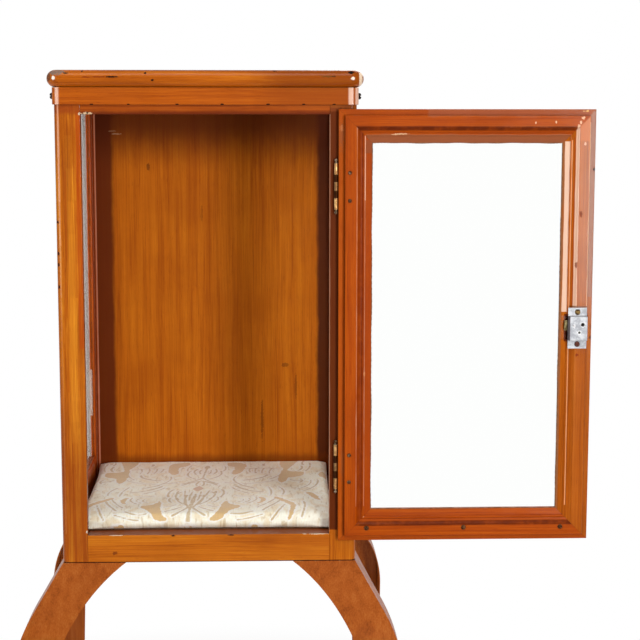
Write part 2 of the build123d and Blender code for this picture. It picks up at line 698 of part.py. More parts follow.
def face_screw(place, head_radius, head_height, length):
    """A slotted screw driven into the door's inner face, its head standing proud."""
    head = rod(head_radius, head_height, place, (0, -1, 0))
    head = fillet(near_rim(head), head_height * 4 / 5)
    shaft = rod(SCREW_RADIUS - SHANK_FIT, length, place, (0, 1, 0))
    slot = block(
        (-2 * head_radius, 2 * head_radius),
        (-head_height, FACE_SLOT_DEPTH - head_height),
        (-FACE_SLOT_WIDTH / 2, FACE_SLOT_WIDTH / 2),
    )
    return head + shaft - Pos(*place) * Rot(0, FACE_SLOT_TURN, 0) * slot


def near_rim(shape):
    """The round edge nearest the front."""
    return shape.edges().filter_by(GeomType.CIRCLE).sort_by(Axis.Y)[0]


def low_rim(shape):
    """The lowest round edge."""
    return shape.edges().filter_by(GeomType.CIRCLE).sort_by(Axis.Z)[0]


def hinge_heights():
    """The Z of each hinge's middle."""
    return [DOOR_LOW + HINGE_SETBACK, DOOR_HIGH - HINGE_SETBACK]


def knuckle_spans():
    """Low and high of each knuckle, measured from the hinge's middle, from the bottom up."""
    scale = HINGE_LENGTH / sum(KNUCKLE_LENGTHS)
    spans = []
    low = -HINGE_LENGTH / 2
    for length in KNUCKLE_LENGTHS:
        spans.append((low, low + length * scale))
        low += length * scale
    return spans


def knuckle(z, span):
    """One knuckle of the barrel, solid, before its bore is cut."""
    low = z + span[0] + KNUCKLE_GAP / 2
    high = z + span[1] - KNUCKLE_GAP / 2
    return rod(BARREL_RADIUS, high - low, (HINGE_X, HINGE_Y, low), (0, 0, 1))


def leaf_slot(z):
    """The slot in the hinge stile's edge that the door's leaf passes through."""
    reach = LEAF_THICKNESS / 2 + LEAF_SLOT_GAP
    half = HINGE_LENGTH / 2 + FACE_GAP
    return block(
        (DOOR_LEFT - SHEET, DOOR_LEFT + 2 * SHEET),
        (HINGE_Y - reach, HINGE_Y + reach),
        (z - half, z + half),
    )


def leaf_screw_places():
    """Four countersunk screws in each fixed leaf, in two staggered columns."""
    places = []
    for z in hinge_heights():
        for row, step in enumerate(LEAF_SCREW_STEPS):
            x = HINGE_X + LEAF_SCREW_COLUMNS[row % 2]
            places.append((x, FRONT - LEAF_THICKNESS, z + step))
    return places


def hinges():
    """Both hinges: fixed leaf, door leaf, ball-tipped pin, screws and rivets."""
    names = ("lower", "upper")
    rivets = []
    for name, z in zip(names, hinge_heights()):
        bore = rod(
            PIN_RADIUS + PIN_CLEARANCE,
            HINGE_LENGTH + 2,
            (HINGE_X, HINGE_Y, z - HINGE_LENGTH / 2 - 1),
            (0, 0, 1),
        )
        save(f"hinge_leaf_fixed_{name}", fixed_leaf(z) - bore)
        save(f"hinge_leaf_door_{name}", door_leaf(z) - bore)
        save(f"hinge_pin_{name}", hinge_pin(z))
        for step in (-RIVET_SPACING / 2, RIVET_SPACING / 2):
            rivets.append(hinge_rivet(z + step))
    save("hinge_rivets", group(rivets))
    save("hinge_leaf_screws", group([leaf_screw(place) for place in leaf_screw_places()]))


def fixed_leaf(z):
    """The leaf on the cabinet's stile, with the outer and middle knuckles."""
    half = HINGE_LENGTH / 2
    plate = block(
        (HINGE_X + LEAF_WEB[0], HINGE_X + LEAF_WIDTH),
        (FRONT - LEAF_THICKNESS, FRONT),
        (z - half, z + half),
    )
    for index in (0, 2, 4):
        span = knuckle_spans()[index]
        low = z + span[0] + KNUCKLE_GAP / 2
        high = z + span[1] - KNUCKLE_GAP / 2
        web_sides = (HINGE_X + LEAF_WEB[0], HINGE_X + LEAF_WEB[1])
        web = block(web_sides, (HINGE_Y, FRONT - LEAF_THICKNESS / 2), (low, high))
        plate += web + knuckle(z, span)
    for x, _, height in leaf_screw_places():
        if abs(height - z) < half:
            plate -= countersink(x, height, SHANK_FIT)
    return plate


def countersink(x, z, grow):
    """The cone and hole of one countersunk screw in the fixed leaf."""
    return Plane(origin=(x, FRONT - LEAF_THICKNESS, z), z_dir=(0, 1, 0)) * Cone(
        LEAF_SCREW_HEAD + grow,
        SCREW_RADIUS + grow,
        LEAF_THICKNESS,
        align=(Align.CENTER, Align.CENTER, Align.MIN),
    )


def leaf_screw(place):
    """A countersunk slotted screw, flush with the leaf."""
    x, y, z = place
    start = (x, FRONT - LEAF_THICKNESS / 2, z)
    shaft = rod(SCREW_RADIUS - SHANK_FIT, LEAF_SCREW_LENGTH, start, (0, 1, 0))
    slot = block(
        (x - 2 * LEAF_SCREW_HEAD, x + 2 * LEAF_SCREW_HEAD),
        (y, y + LEAF_THICKNESS / 3),
        (z - FACE_SLOT_WIDTH / 2, z + FACE_SLOT_WIDTH / 2),
    )
    return countersink(x, z, 0.0) + shaft - slot


def door_leaf(z):
    """The leaf that runs into the door's edge, with the two knuckles between the others."""
    half = HINGE_LENGTH / 2
    depth = (HINGE_Y - LEAF_THICKNESS / 2, HINGE_Y + LEAF_THICKNESS / 2)
    start = HINGE_X + BARREL_RADIUS + LEAF_BARREL_GAP
    plate = block((start, HINGE_X + LEAF_WIDTH), depth, (z - half, z + half))
    for index in (1, 3):
        span = knuckle_spans()[index]
        low = z + span[0] + KNUCKLE_GAP / 2
        high = z + span[1] - KNUCKLE_GAP / 2
        plate += block((HINGE_X, start + SHEET), depth, (low, high)) + knuckle(z, span)
    for step in (-RIVET_SPACING / 2, RIVET_SPACING / 2):
        place = (DOOR_LEFT + RIVET_INSET, depth[0] - LEAF_THICKNESS, z + step)
        plate -= rod(RIVET_RADIUS + SHANK_FIT, 3 * LEAF_THICKNESS, place, (0, 1, 0))
    return plate


def hinge_pin(z):
    """A loose pin with a collar and a ball at each end."""
    half = HINGE_LENGTH / 2
    low = z - half - PIN_NECK
    pin = rod(PIN_RADIUS, HINGE_LENGTH + 2 * PIN_NECK, (HINGE_X, HINGE_Y, low), (0, 0, 1))
    for end in (-1, 1):
        start = z + end * half
        pin += rod(PIN_COLLAR_RADIUS, PIN_COLLAR, (HINGE_X, HINGE_Y, start), (0, 0, end))
        pin += Pos(HINGE_X, HINGE_Y, start + end * PIN_BALL_RISE) * Sphere(PIN_BALL_RADIUS)
    return pin


def hinge_rivet(z):
    """A domed rivet from the door's inner face down to the leaf inside the stile."""
    x = DOOR_LEFT + RIVET_INSET
    face = door_y(DOOR_THICKNESS)
    end = HINGE_Y + LEAF_THICKNESS / 2
    shaft = rod(RIVET_RADIUS, end - face, (x, face, z), (0, 1, 0))
    head = rod(RIVET_HEAD_RADIUS, RIVET_HEAD_HEIGHT, (x, face, z), (0, -1, 0))
    head = fillet(near_rim(head), RIVET_HEAD_HEIGHT * 4 / 5)
    tail = rod(RIVET_TAIL_RADIUS, RIVET_TAIL_HEIGHT, (x, end, z), (0, 1, 0))
    return shaft + head + tail


def lock_cuts():
    """The lock's mortise, the bolt's slot in the edge and the key plug's hole."""
    face = door_y(DOOR_THICKNESS)
    left = RAISED_EDGE - SHEET - MORTISE_WIDTH
    half = MORTISE_HEIGHT / 2
    mortise = block(
        (left, RAISED_EDGE - SHEET),
        (face - SHEET, face + MORTISE_DEPTH),
        (LOCK_Z - half, LOCK_Z + half),
    )
    slot = block(
        (RAISED_EDGE - 2 * SHEET, RAISED_EDGE + SHEET),
        (face + BOLT_DEPTH - BOLT_THICKNESS - BOLT_CLEARANCE, face + BOLT_DEPTH + BOLT_CLEARANCE),
        (BOLT_Z - BOLT_HEIGHT / 2 - BOLT_CLEARANCE, BOLT_Z + BOLT_HEIGHT / 2 + BOLT_CLEARANCE),
    )
    key = rod(PLUG_RADIUS + PLUG_GAP, 3 * SHEET, (PLUG_X, door_y(-SHEET), PLUG_Z), (0, -1, 0))
    screws = [
        rod(SCREW_RADIUS, 2 * SHEET, (PLATE_MIDDLE, face, z), (0, 1, 0))
        for z in lock_screw_heights()
    ]
    cuts = mortise + slot + key
    for screw in screws:
        cuts += screw
    return cuts


def lock_screw_heights():
    """The Z of the two screws in the lock's plate."""
    return (LOCK_Z - LOCK_SCREW_SPACING / 2, LOCK_Z + LOCK_SCREW_SPACING / 2)


def lock_case():
    """The lock's plate with its raised cover, and the guide block behind that holds the bolt."""
    face = door_y(DOOR_THICKNESS)
    plate_face = face - LOCK_PLATE_THICKNESS
    half = LOCK_PLATE_HEIGHT / 2
    plate = block((PLATE_LEFT, PLATE_RIGHT), (plate_face, face), (LOCK_Z - half, LOCK_Z + half))
    case_half = LOCK_CASE_HEIGHT / 2
    left = PLATE_RIGHT - LOCK_CASE_WIDTH
    cover = block(
        (left, PLATE_RIGHT),
        (plate_face - LOCK_CASE_PROUD, plate_face),
        (LOCK_Z - case_half, LOCK_Z + case_half),
    )
    cover = fillet(cover.edges().sort_by(Axis.Y)[:4], LOCK_ROUNDING)
    room = block(
        (left + LOCK_WALL, PLATE_RIGHT - LOCK_WALL),
        (plate_face - LOCK_CASE_PROUD + LOCK_WALL, plate_face),
        (LOCK_Z - case_half + LOCK_WALL, LOCK_Z + case_half - LOCK_WALL),
    )
    guide_half = MORTISE_HEIGHT / 2 - BOLT_CLEARANCE
    guide = block(
        (left + LOCK_WALL, BOLT_RIGHT - BOLT_CLEARANCE),
        (face, face + MORTISE_DEPTH - BOLT_CLEARANCE),
        (LOCK_Z - guide_half, LOCK_Z + guide_half),
    )
    channel = block(
        (left - LOCK_WALL, BOLT_RIGHT + LOCK_WALL),
        (face + BOLT_DEPTH - BOLT_THICKNESS - BOLT_CLEARANCE, face + BOLT_DEPTH + BOLT_CLEARANCE),
        (BOLT_Z - BOLT_HEIGHT / 2 - BOLT_CLEARANCE, BOLT_Z + BOLT_HEIGHT / 2 + BOLT_CLEARANCE),
    )
    case = plate + cover - room + guide - channel
    bore = rod(
        PLUG_STEM_RADIUS + PLUG_STEM_GAP, 3 * DOOR_THICKNESS, (PLUG_X, door_y(0), PLUG_Z), (0, -1, 0)
    )
    case_face = plate_face - LOCK_CASE_PROUD
    boss_place = (left + LOCK_BOSS[0], case_face, PLUG_Z + LOCK_BOSS[1])
    boss = rod(LOCK_BOSS_RADIUS, LOCK_BOSS_HEIGHT, boss_place, (0, -1, 0))
    case = case - bore + fillet(near_rim(boss), LOCK_BOSS_HEIGHT * 2 / 3)
    eye_place = (PLUG_X + LOCK_EYE[0], case_face - LOCK_WALL, PLUG_Z + LOCK_EYE[1])
    case -= rod(LOCK_EYE_RADIUS, 3 * LOCK_WALL, eye_place, (0, 1, 0))
    for z in lock_screw_heights():
        place = (PLATE_MIDDLE, plate_face - LOCK_PLATE_THICKNESS, z)
        case -= rod(SCREW_RADIUS, 3 * LOCK_PLATE_THICKNESS, place, (0, 1, 0))
    return case


def lock():
    """The lock: case, sliding bolt, turning key plug, escutcheon and screws."""
    face = door_y(DOOR_THICKNESS)
    save("lock_case", lock_case())
    bolt = block(
        (BOLT_RIGHT - BOLT_LENGTH, BOLT_RIGHT),
        (face + BOLT_DEPTH - BOLT_THICKNESS, face + BOLT_DEPTH),
        (BOLT_Z - BOLT_HEIGHT / 2, BOLT_Z + BOLT_HEIGHT / 2),
    )
    reach = PLUG_STEM_RADIUS + PLUG_STEM_GAP
    window = block(
        (PLUG_X - reach - BOLT_TRAVEL, PLUG_X + reach),
        (face, face + 2 * BOLT_DEPTH),
        (PLUG_Z - reach, PLUG_Z + reach),
    )
    save("lock_bolt", fillet(bolt.edges().filter_by(Axis.Y), BOLT_ROUNDING) - window)
    save("lock_plug", key_plug(face - LOCK_PLATE_THICKNESS - LOCK_CASE_PROUD))
    collar = rod(ESCUTCHEON_RADIUS, ESCUTCHEON_THICKNESS, (PLUG_X, door_y(0), PLUG_Z), (0, 1, 0))
    far_rim = collar.edges().filter_by(GeomType.CIRCLE).sort_by(Axis.Y)[-1]
    hole = rod(PLUG_RADIUS + PLUG_GAP, DOOR_THICKNESS, (PLUG_X, door_y(SHEET), PLUG_Z), (0, 1, 0))
    save("lock_escutcheon", fillet(far_rim, ESCUTCHEON_ROUNDING) - hole)
    screws = [
        face_screw(
            (PLATE_MIDDLE, face - LOCK_PLATE_THICKNESS, z), *FACE_SCREW_HEADS["lock"], LOCK_SCREW_LENGTH
        )
        for z in lock_screw_heights()
    ]
    save("lock_screws", group(screws))


def key_plug(case_face):
    """The plug: a round head with a keyway, flush outside, and a stem through to the case's face."""
    outside = door_y(-PLUG_HEAD)
    head = rod(PLUG_RADIUS, 2 * PLUG_HEAD + SHEET, (PLUG_X, outside, PLUG_Z), (0, -1, 0))
    stem_length = door_y(0) - case_face - LOCK_WALL / 3
    stem = rod(PLUG_STEM_RADIUS, stem_length, (PLUG_X, door_y(0), PLUG_Z), (0, -1, 0))
    keyway = block(
        (PLUG_X - KEYWAY_WIDTH / 2, PLUG_X + KEYWAY_WIDTH / 2),
        (outside - KEYWAY_DEPTH, outside + PLUG_HEAD),
        (PLUG_Z - KEYWAY_HEIGHT / 2, PLUG_Z + KEYWAY_HEIGHT / 2),
    )
    return head + stem - keyway


def pad():
    """The loose pad on the floor: a thin board under a low crowned cushion."""
    board = block(
        (PAD_LEFT + BOARD_INSET, PAD_RIGHT - BOARD_INSET),
        (FRONT + SILL_DEPTH + FACE_GAP, PAD_FAR - BOARD_INSET),
        (FLOOR_TOP, FLOOR_TOP + BOARD_THICKNESS),
    )
    save("pad_board", board)
    low = FLOOR_TOP + BOARD_THICKNESS
    levels = (
        (0.0, 6.0),
        (0.14, 2.0),
        (0.42, 0.0),
        (0.72, 1.6),
        (0.93, 6.5),
        (1.0, 14.0),
    )
    sections = [drawn_outline(inset, low + share * PAD_THICKNESS) for share, inset in levels]
    crown = low + PAD_THICKNESS + PAD_CROWN
    sections.append(drawn_outline(PAD_SHOULDER_INSET, crown - PAD_CROWN / 5))
    sections.append(drawn_outline(PAD_CROWN_INSET, crown))
    save("pad_cushion", loft(sections, ruled=True))


def drawn_outline(inset, z):
    """The cushion's plan at one height, its four sides drawn in between the corners."""
    x = (PAD_RIGHT - PAD_LEFT) / 2 - inset
    y = (PAD_FAR - PAD_NEAR) / 2 - inset
    draw = PAD_SIDE_DRAW
    sides = [
        ThreePointArc((-x, -y), (0, -y + draw), (x, -y)),
        ThreePointArc((x, -y), (x - draw, 0), (x, y)),
        ThreePointArc((x, y), (0, y - draw), (-x, y)),
        ThreePointArc((-x, y), (-x + draw, 0), (-x, -y)),
    ]
    return Pos((PAD_LEFT + PAD_RIGHT) / 2, (PAD_NEAR + PAD_FAR) / 2, z) * make_face(sides)


def leg_curve():
    """The leg's outer line as (reach, drop): a straight flare, an arc over the knee, the shin."""
    straight = (LEG_SLOPE * LEG_STRAIGHT, -LEG_STRAIGHT)
    knee = (LEG_FLARE, -LEG_KNEE)
    flare = Line((0, 0), straight)
    arc = TangentArc(straight, knee, tangent=(LEG_SLOPE, -1))
    shin = Line(knee, (LEG_FLARE, GLIDE_HEIGHT - LEG_HEIGHT))
    return flare, arc, shin


def leg_band():
    """The thickness of the leg's sheet in side view, following the outer line."""
    outer = leg_curve()
    path = Wire([edge for line in outer for edge in line.edges()])
    end = path @ 1
    inner = [
        Line((-LEG_SHEET, 0), (LEG_SLOPE * LEG_STRAIGHT - LEG_SHEET, -LEG_STRAIGHT)),
        TangentArc(
            (LEG_SLOPE * LEG_STRAIGHT - LEG_SHEET, -LEG_STRAIGHT),
            (LEG_FLARE - LEG_SHEET, -LEG_KNEE),
            tangent=(LEG_SLOPE, -1),
        ),
        Line((LEG_FLARE - LEG_SHEET, -LEG_KNEE), (end.X - LEG_SHEET, end.Y)),
    ]
    caps = [Line((0, 0), (-LEG_SHEET, 0)), Line((end.X, end.Y), (end.X - LEG_SHEET, end.Y))]
    return make_face([edge for line in (*outer, *inner, *caps) for edge in line.edges()])


def leg_face():
    """The outline of one flange seen square on, from its inner curve to the outer line."""
    end = GLIDE_HEIGHT - LEG_HEIGHT
    inner_top = (-LEG_TOP_WIDTH, 0)
    inner_shin = (LEG_FLARE - LEG_SHIN_WIDTH, -LEG_SHIN_DROP)
    inner_end = (LEG_FLARE - LEG_ANKLE_WIDTH, end)
    curve = TangentArc(inner_shin, inner_top, tangent=(0, 1))
    edges = [
        *leg_curve(),
        Line((LEG_FLARE, end), inner_end),
        Line(inner_end, inner_shin),
        curve,
        Line(inner_top, (0, 0)),
    ]
    return make_face([edge for line in edges for edge in line.edges()])


def leg():
    """The front right leg: two flared flanges folded in one sheet, with its two plates."""
    corner = (HALF_WIDTH, FRONT)
    top = BASE - BASE_THICKNESS
    span = 2 * (LEG_TOP_WIDTH + LEG_FLARE)
    side_plane = Plane(origin=(corner[0], corner[1], top), x_dir=(1, 0, 0), z_dir=(0, -1, 0))
    front_plane = Plane(origin=(corner[0], corner[1], top), x_dir=(0, -1, 0), z_dir=(-1, 0, 0))
    side_flange = extrude(side_plane * leg_band(), amount=span, both=True)
    side_flange &= extrude(front_plane * leg_face(), amount=span, both=True)
    front_flange = extrude(front_plane * leg_band(), amount=span, both=True)
    front_flange &= extrude(side_plane * leg_face(), amount=span, both=True)
    plate = block(
        (corner[0] - LEG_PLATE_WIDTH, corner[0] - LEG_PLATE_LAP),
        (corner[1] + LEG_PLATE_LAP, corner[1] + LEG_PLATE_WIDTH),
        (top - LEG_SHEET, top),
    )
    foot_low = GLIDE_HEIGHT
    knee = (corner[0] + LEG_FLARE, corner[1] - LEG_FLARE)
    reach = LEG_ANKLE_WIDTH - LEG_SHEET
    foot = block(
        (knee[0] - LEG_ANKLE_WIDTH, knee[0] - LEG_SHEET),
        (knee[1] + LEG_SHEET, knee[1] + LEG_SHEET + reach),
        (foot_low, foot_low + FOOT_PLATE),
    )
    shape = side_flange + front_flange + plate + foot
    for x, y in leg_bolt_places():
        if x > 0 and y < 0:
            shape -= rod(BOLT_SHANK_RADIUS, 3 * LEG_SHEET, (x, y, top - 2 * LEG_SHEET), (0, 0, 1))
    x, y = glide_place()
    return shape - rod(BOLT_SHANK_RADIUS, 3 * FOOT_PLATE, (x, y, foot_low - FOOT_PLATE), (0, 0, 1))


def glide_place():
    """The front right glide's place in plan."""
    inset = (LEG_ANKLE_WIDTH + LEG_SHEET) / 2
    return (HALF_WIDTH + LEG_FLARE - inset, FRONT - LEG_FLARE + inset)


def leg_bolt_places():
    """Two bolts in each leg's top plate."""
    y = BODY_DEPTH / 2 - SILL_DEPTH - LEG_BOLT_SETBACK
    return [
        (x_side * (HALF_WIDTH - inset), y_side * y)
        for x_side in (-1, 1)
        for y_side in (-1, 1)
        for inset in LEG_BOLT_INSETS
    ]


def legs():
    """The four legs, their bolts and the glides under them."""
    shape = leg()
    glide = foot_glide()
    glides = []
    for end_name, end in (("front", -1), ("rear", 1)):
        for side_name, side in (("left", -1), ("right", 1)):
            save(f"leg_{end_name}_{side_name}", mirrored(turned_back(shape, end), side))
            glides.append(mirrored(turned_back(glide, end), side))
    save("foot_glides", group(glides))
    save("leg_bolts", group([leg_bolt(x, y) for x, y in leg_bolt_places()]))


def foot_glide():
    """A domed glide with a short stem up through the foot's plate."""
    x, y = glide_place()
    dome = rod(GLIDE_RADIUS, GLIDE_HEIGHT, (x, y, 0), (0, 0, 1))
    dome = fillet(low_rim(dome), GLIDE_ROUNDING)
    stem_radius = BOLT_SHANK_RADIUS - BOLT_SHANK_FIT
    return dome + rod(stem_radius, GLIDE_STEM_LENGTH, (x, y, GLIDE_HEIGHT), (0, 0, 1))


def leg_bolt(x, y):
    """A bolt up through the leg's plate and the base, with its nut inside the cabinet."""
    low = BASE - BASE_THICKNESS - LEG_SHEET
    head = rod(BOLT_HEAD_RADIUS, BOLT_HEAD_HEIGHT, (x, y, low), (0, 0, -1))
    head = fillet(low_rim(head), BOLT_HEAD_ROUNDING)
    length = LEG_SHEET + BASE_THICKNESS + BOLT_REACH
    shank = rod(BOLT_SHANK_RADIUS - BOLT_SHANK_FIT, length, (x, y, low), (0, 0, 1))
    nut = Pos(x, y, BASE) * extrude(RegularPolygon(NUT_RADIUS, 6), amount=NUT_HEIGHT)
    return head + shank + nut


def build():
    """Writes every sub-part."""
    os.makedirs("parts", exist_ok=True)
    posts()
    rails()
    side_glazing()
    panels()
    cap_and_skirt()
    door()
    hinges()
    lock()
    pad()
    legs()


build()
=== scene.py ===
"""Looks for a glazed steel medicine cabinet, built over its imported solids.

Lengths in the classes are millimetres in the cabinet's own frame: X to the right, Y to the
back, Z up from the floor. Colours are written as they look on a screen, 0 to 255.
"""

import functools
import json
import logging
import math
from dataclasses import dataclass, field
from enum import Enum
from typing import Any, Callable, Iterable, Mapping, Protocol

import bpy
import numpy as np
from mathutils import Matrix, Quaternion, Vector

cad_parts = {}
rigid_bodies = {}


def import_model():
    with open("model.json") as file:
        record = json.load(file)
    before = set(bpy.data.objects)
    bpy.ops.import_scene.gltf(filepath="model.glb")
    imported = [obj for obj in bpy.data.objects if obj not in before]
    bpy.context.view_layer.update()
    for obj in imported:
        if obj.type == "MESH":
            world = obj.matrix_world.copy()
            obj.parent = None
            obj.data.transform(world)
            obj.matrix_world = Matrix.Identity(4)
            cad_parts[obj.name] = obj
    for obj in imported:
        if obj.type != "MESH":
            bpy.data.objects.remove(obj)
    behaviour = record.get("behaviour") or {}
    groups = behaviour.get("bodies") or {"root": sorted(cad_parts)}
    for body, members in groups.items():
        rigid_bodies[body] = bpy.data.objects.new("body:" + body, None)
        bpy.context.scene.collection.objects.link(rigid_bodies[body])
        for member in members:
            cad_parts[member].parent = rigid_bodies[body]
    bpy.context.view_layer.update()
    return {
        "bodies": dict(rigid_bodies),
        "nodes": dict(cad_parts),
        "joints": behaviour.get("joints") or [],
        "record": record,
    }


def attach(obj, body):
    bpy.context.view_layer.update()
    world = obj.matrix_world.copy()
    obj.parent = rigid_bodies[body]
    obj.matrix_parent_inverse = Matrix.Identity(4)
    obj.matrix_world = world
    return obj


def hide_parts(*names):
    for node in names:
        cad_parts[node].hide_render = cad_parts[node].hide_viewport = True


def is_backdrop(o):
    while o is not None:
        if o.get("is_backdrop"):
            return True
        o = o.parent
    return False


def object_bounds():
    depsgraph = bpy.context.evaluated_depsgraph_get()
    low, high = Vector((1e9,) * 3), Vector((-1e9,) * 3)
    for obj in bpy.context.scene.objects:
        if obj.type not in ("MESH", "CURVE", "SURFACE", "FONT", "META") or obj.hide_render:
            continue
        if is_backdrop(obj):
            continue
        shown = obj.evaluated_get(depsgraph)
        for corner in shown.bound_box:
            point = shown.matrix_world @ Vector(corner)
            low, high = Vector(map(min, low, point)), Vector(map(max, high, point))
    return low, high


LOG = logging.getLogger("cabinet")
MM = 0.001
ZERO = (0.0, 0.0, 0.0)
WHITE = (1.0, 1.0, 1.0, 1.0)

Tone = tuple[int, int, int]
Place = tuple[float, float]
Triple = tuple[float, float, float]
Socket = bpy.types.NodeSocket
Sockets = bpy.types.bpy_prop_collection
Value = Any


def linear(tone: Tone) -> tuple[float, float, float, float]:
    """A screen colour as the linear colour that a shader takes.

    Args:
        tone: Red, green and blue, 0 to 255.

    Returns:
        Linear red, green and blue, and an alpha of 1.
    """
    parts = (part / 255 for part in tone)
    red, green, blue = (p / 12.92 if p <= 0.04045 else ((p + 0.055) / 1.055) ** 2.4 for p in parts)
    return (red, green, blue, 1.0)


def metres(point: Iterable[float]) -> Triple:
    """A place or size in millimetres as metres."""
    x, y, z = (value * MM for value in point)
    return (x, y, z)


class Graph:
    """Lays nodes in one shader tree and joins them."""

    COLUMNS = 14
    WIDE = 200
    TALL = 260

    def __init__(self, tree: bpy.types.NodeTree) -> None:
        """Starts on a tree that may already hold nodes."""
        self.tree = tree
        self.laid = 0

    def put(self, socket: Socket, value: Value) -> None:
        """Links a socket to another, or sets its own value.

        Args:
            socket: The input to feed.
            value: An output socket, a number, or a tuple.
        """
        if isinstance(value, bpy.types.NodeSocket):
            self.tree.links.new(value, socket)
        else:
            socket.default_value = value

    def add(self, kind: str, inputs: Mapping[Any, Value] | None = None, **settings: Any) -> bpy.types.Node:
        """Adds one node.

        Args:
            kind: The node's type.
            inputs: Values or links by input name or number.
            settings: The node's own properties.

        Returns:
            The node.
        """
        node = self.tree.nodes.new(kind)
        row, column = divmod(self.laid, self.COLUMNS)
        node.location = (self.WIDE * column, -self.TALL * row)
        self.laid += 1
        for name, value in settings.items():
            setattr(node, name, value)
        for name, value in (inputs or {}).items():
            self.put(node.inputs[name], value)
        return node

    def math(self, operation: str, *values: Value, clamp: bool = False) -> Socket:
        """One step of arithmetic on one to three numbers or sockets, kept from 0 to 1 by clamp."""
        inputs = dict(enumerate(values))
        return self.add("ShaderNodeMath", inputs, operation=operation, use_clamp=clamp).outputs[0]

    def times(self, first: Value, second: Value) -> Socket:
        """Two numbers multiplied."""
        return self.math("MULTIPLY", first, second)

    def less(self, first: Value, second: Value) -> Socket:
        """The second number taken from the first."""
        return self.math("SUBTRACT", first, second)

    def most(self, first: Value, second: Value) -> Socket:
        """The greater of two numbers."""
        return self.math("MAXIMUM", first, second)

    def sum_of(self, value: Value, factor: Value, added: Value) -> Socket:
        """A number times a factor, plus another number."""
        return self.math("MULTIPLY_ADD", value, factor, added)

    def vector(self, operation: str, *values: Value) -> Sockets:
        """The outputs of one step of vector arithmetic."""
        return self.add("ShaderNodeVectorMath", dict(enumerate(values)), operation=operation).outputs

    def mix(self, factor: Value, first: Value, second: Value, blend: str = "MIX") -> Socket:
        """A colour between two colours, by a factor from 0 to 1 and the Mix node's blend type."""
        inputs = {0: factor, 6: first, 7: second}
        return self.add("ShaderNodeMix", inputs, data_type="RGBA", blend_type=blend).outputs[2]

    def over(self, color: Value, factor: Value, tone: Tone) -> Socket:
        """A screen colour laid over a colour, by a factor from 0 to 1."""
        return self.mix(factor, color, linear(tone))

    def between(self, factor: Value, first: Value, second: Value) -> Socket:
        """A number between two numbers, by a factor from 0 to 1."""
        return self.add("ShaderNodeMix", {0: factor, 2: first, 3: second}, data_type="FLOAT").outputs[0]

    def step(self, value: Value, start: Value, end: Value, low: Value, high: Value) -> Socket:
        """A smooth step from low at start to high at end, where end is the greater."""
        inputs = {0: value, 1: start, 2: end, 3: low, 4: high}
        return self.add("ShaderNodeMapRange", inputs, interpolation_type="SMOOTHSTEP").outputs[0]

    def fade(self, value: Value, start: float, end: float, low: float = 0.0, high: float = 1.0) -> Socket:
        """A smooth step: low at start, high at end, and level outside them.

        Args:
            value: What is measured.
            start: Where the step begins.
            end: Where it ends. It may be less than start.
            low: The result at start.
            high: The result at end.

        Returns:
            The stepped value.
        """
        if start > end:
            return self.step(value, end, start, high, low)
        return self.step(value, start, end, low, high)

    def noise(
        self, place: Socket, scale: Value, detail: float = 3.0, rough: float = 0.55, twist: float = 0.0
    ) -> Socket:
        """Cloudy noise from 0 to 1.

        Args:
            place: The coordinates.
            scale: Features per metre.
            detail: Octaves.
            rough: How strong the fine octaves are.
            twist: Distortion.

        Returns:
            The noise value.
        """
        inputs = {
            "Vector": place, "Scale": scale, "Detail": detail, "Roughness": rough, "Distortion": twist
        }
        return self.add("ShaderNodeTexNoise", inputs).outputs[0]

    def scaled(self, place: Socket, factors: Triple) -> Socket:
        """Coordinates times factors."""
        return self.vector("MULTIPLY_ADD", place, factors, ZERO)[0]

    def split(self, place: Socket) -> tuple[Socket, Socket, Socket]:
        """The three parts of a vector."""
        return tuple(self.add("ShaderNodeSeparateXYZ", {0: place}).outputs)

    def joined(self, x: Value, y: Value, z: Value) -> Socket:
        """A vector from its three parts."""
        return self.add("ShaderNodeCombineXYZ", {0: x, 1: y, 2: z}).outputs[0]

    def ramp(self, factor: Socket, stops: Iterable[tuple[float, Tone]]) -> Socket:
        """A colour by position along several colours.

        Args:
            factor: 0 to 1.
            stops: Positions with their colours, in order.

        Returns:
            The colour.
        """
        node = self.add("ShaderNodeValToRGB", {0: factor})
        bar = node.color_ramp.elements
        for number, (place, tone) in enumerate(stops):
            stop = bar[number] if number < 2 else bar.new(place)
            stop.position = place
            stop.color = linear(tone)
        return node.outputs[0]

    def rays(self) -> tuple[Socket, Socket]:
        """Whether a ray comes from the eye, straight or through glass, and the same or mirrored.

        Returns:
            Two numbers, each 0 or 1.
        """
        path = self.add("ShaderNodeLightPath").outputs
        clear = self.most(path["Is Camera Ray"], path["Is Transmission Ray"])
        return clear, self.most(clear, path["Is Glossy Ray"])


Lay = Callable[[Graph, Sockets], tuple[Socket, ...]]


def group(name: str, outputs: Iterable[str], inputs: Mapping[str, Value], lay: Lay) -> bpy.types.NodeTree:
    """Makes a shader group. Its outputs are numbers.

    Args:
        name: The group's name.
        outputs: Output names.
        inputs: Input names with their first values. A tuple makes a vector.
        lay: Lays the nodes and returns the results in the order of the outputs.

    Returns:
        The group.
    """
    tree = bpy.data.node_groups.new(name, "ShaderNodeTree")
    for title, value in inputs.items():
        kind = "NodeSocketVector" if isinstance(value, tuple) else "NodeSocketFloat"
        tree.interface.new_socket(title, in_out="INPUT", socket_type=kind).default_value = value
    for title in outputs:
        tree.interface.new_socket(title, in_out="OUTPUT", socket_type="NodeSocketFloat")
    graph = Graph(tree)
    results = lay(graph, graph.add("NodeGroupInput").outputs)
    graph.add("NodeGroupOutput", dict(enumerate(results)))
    return tree


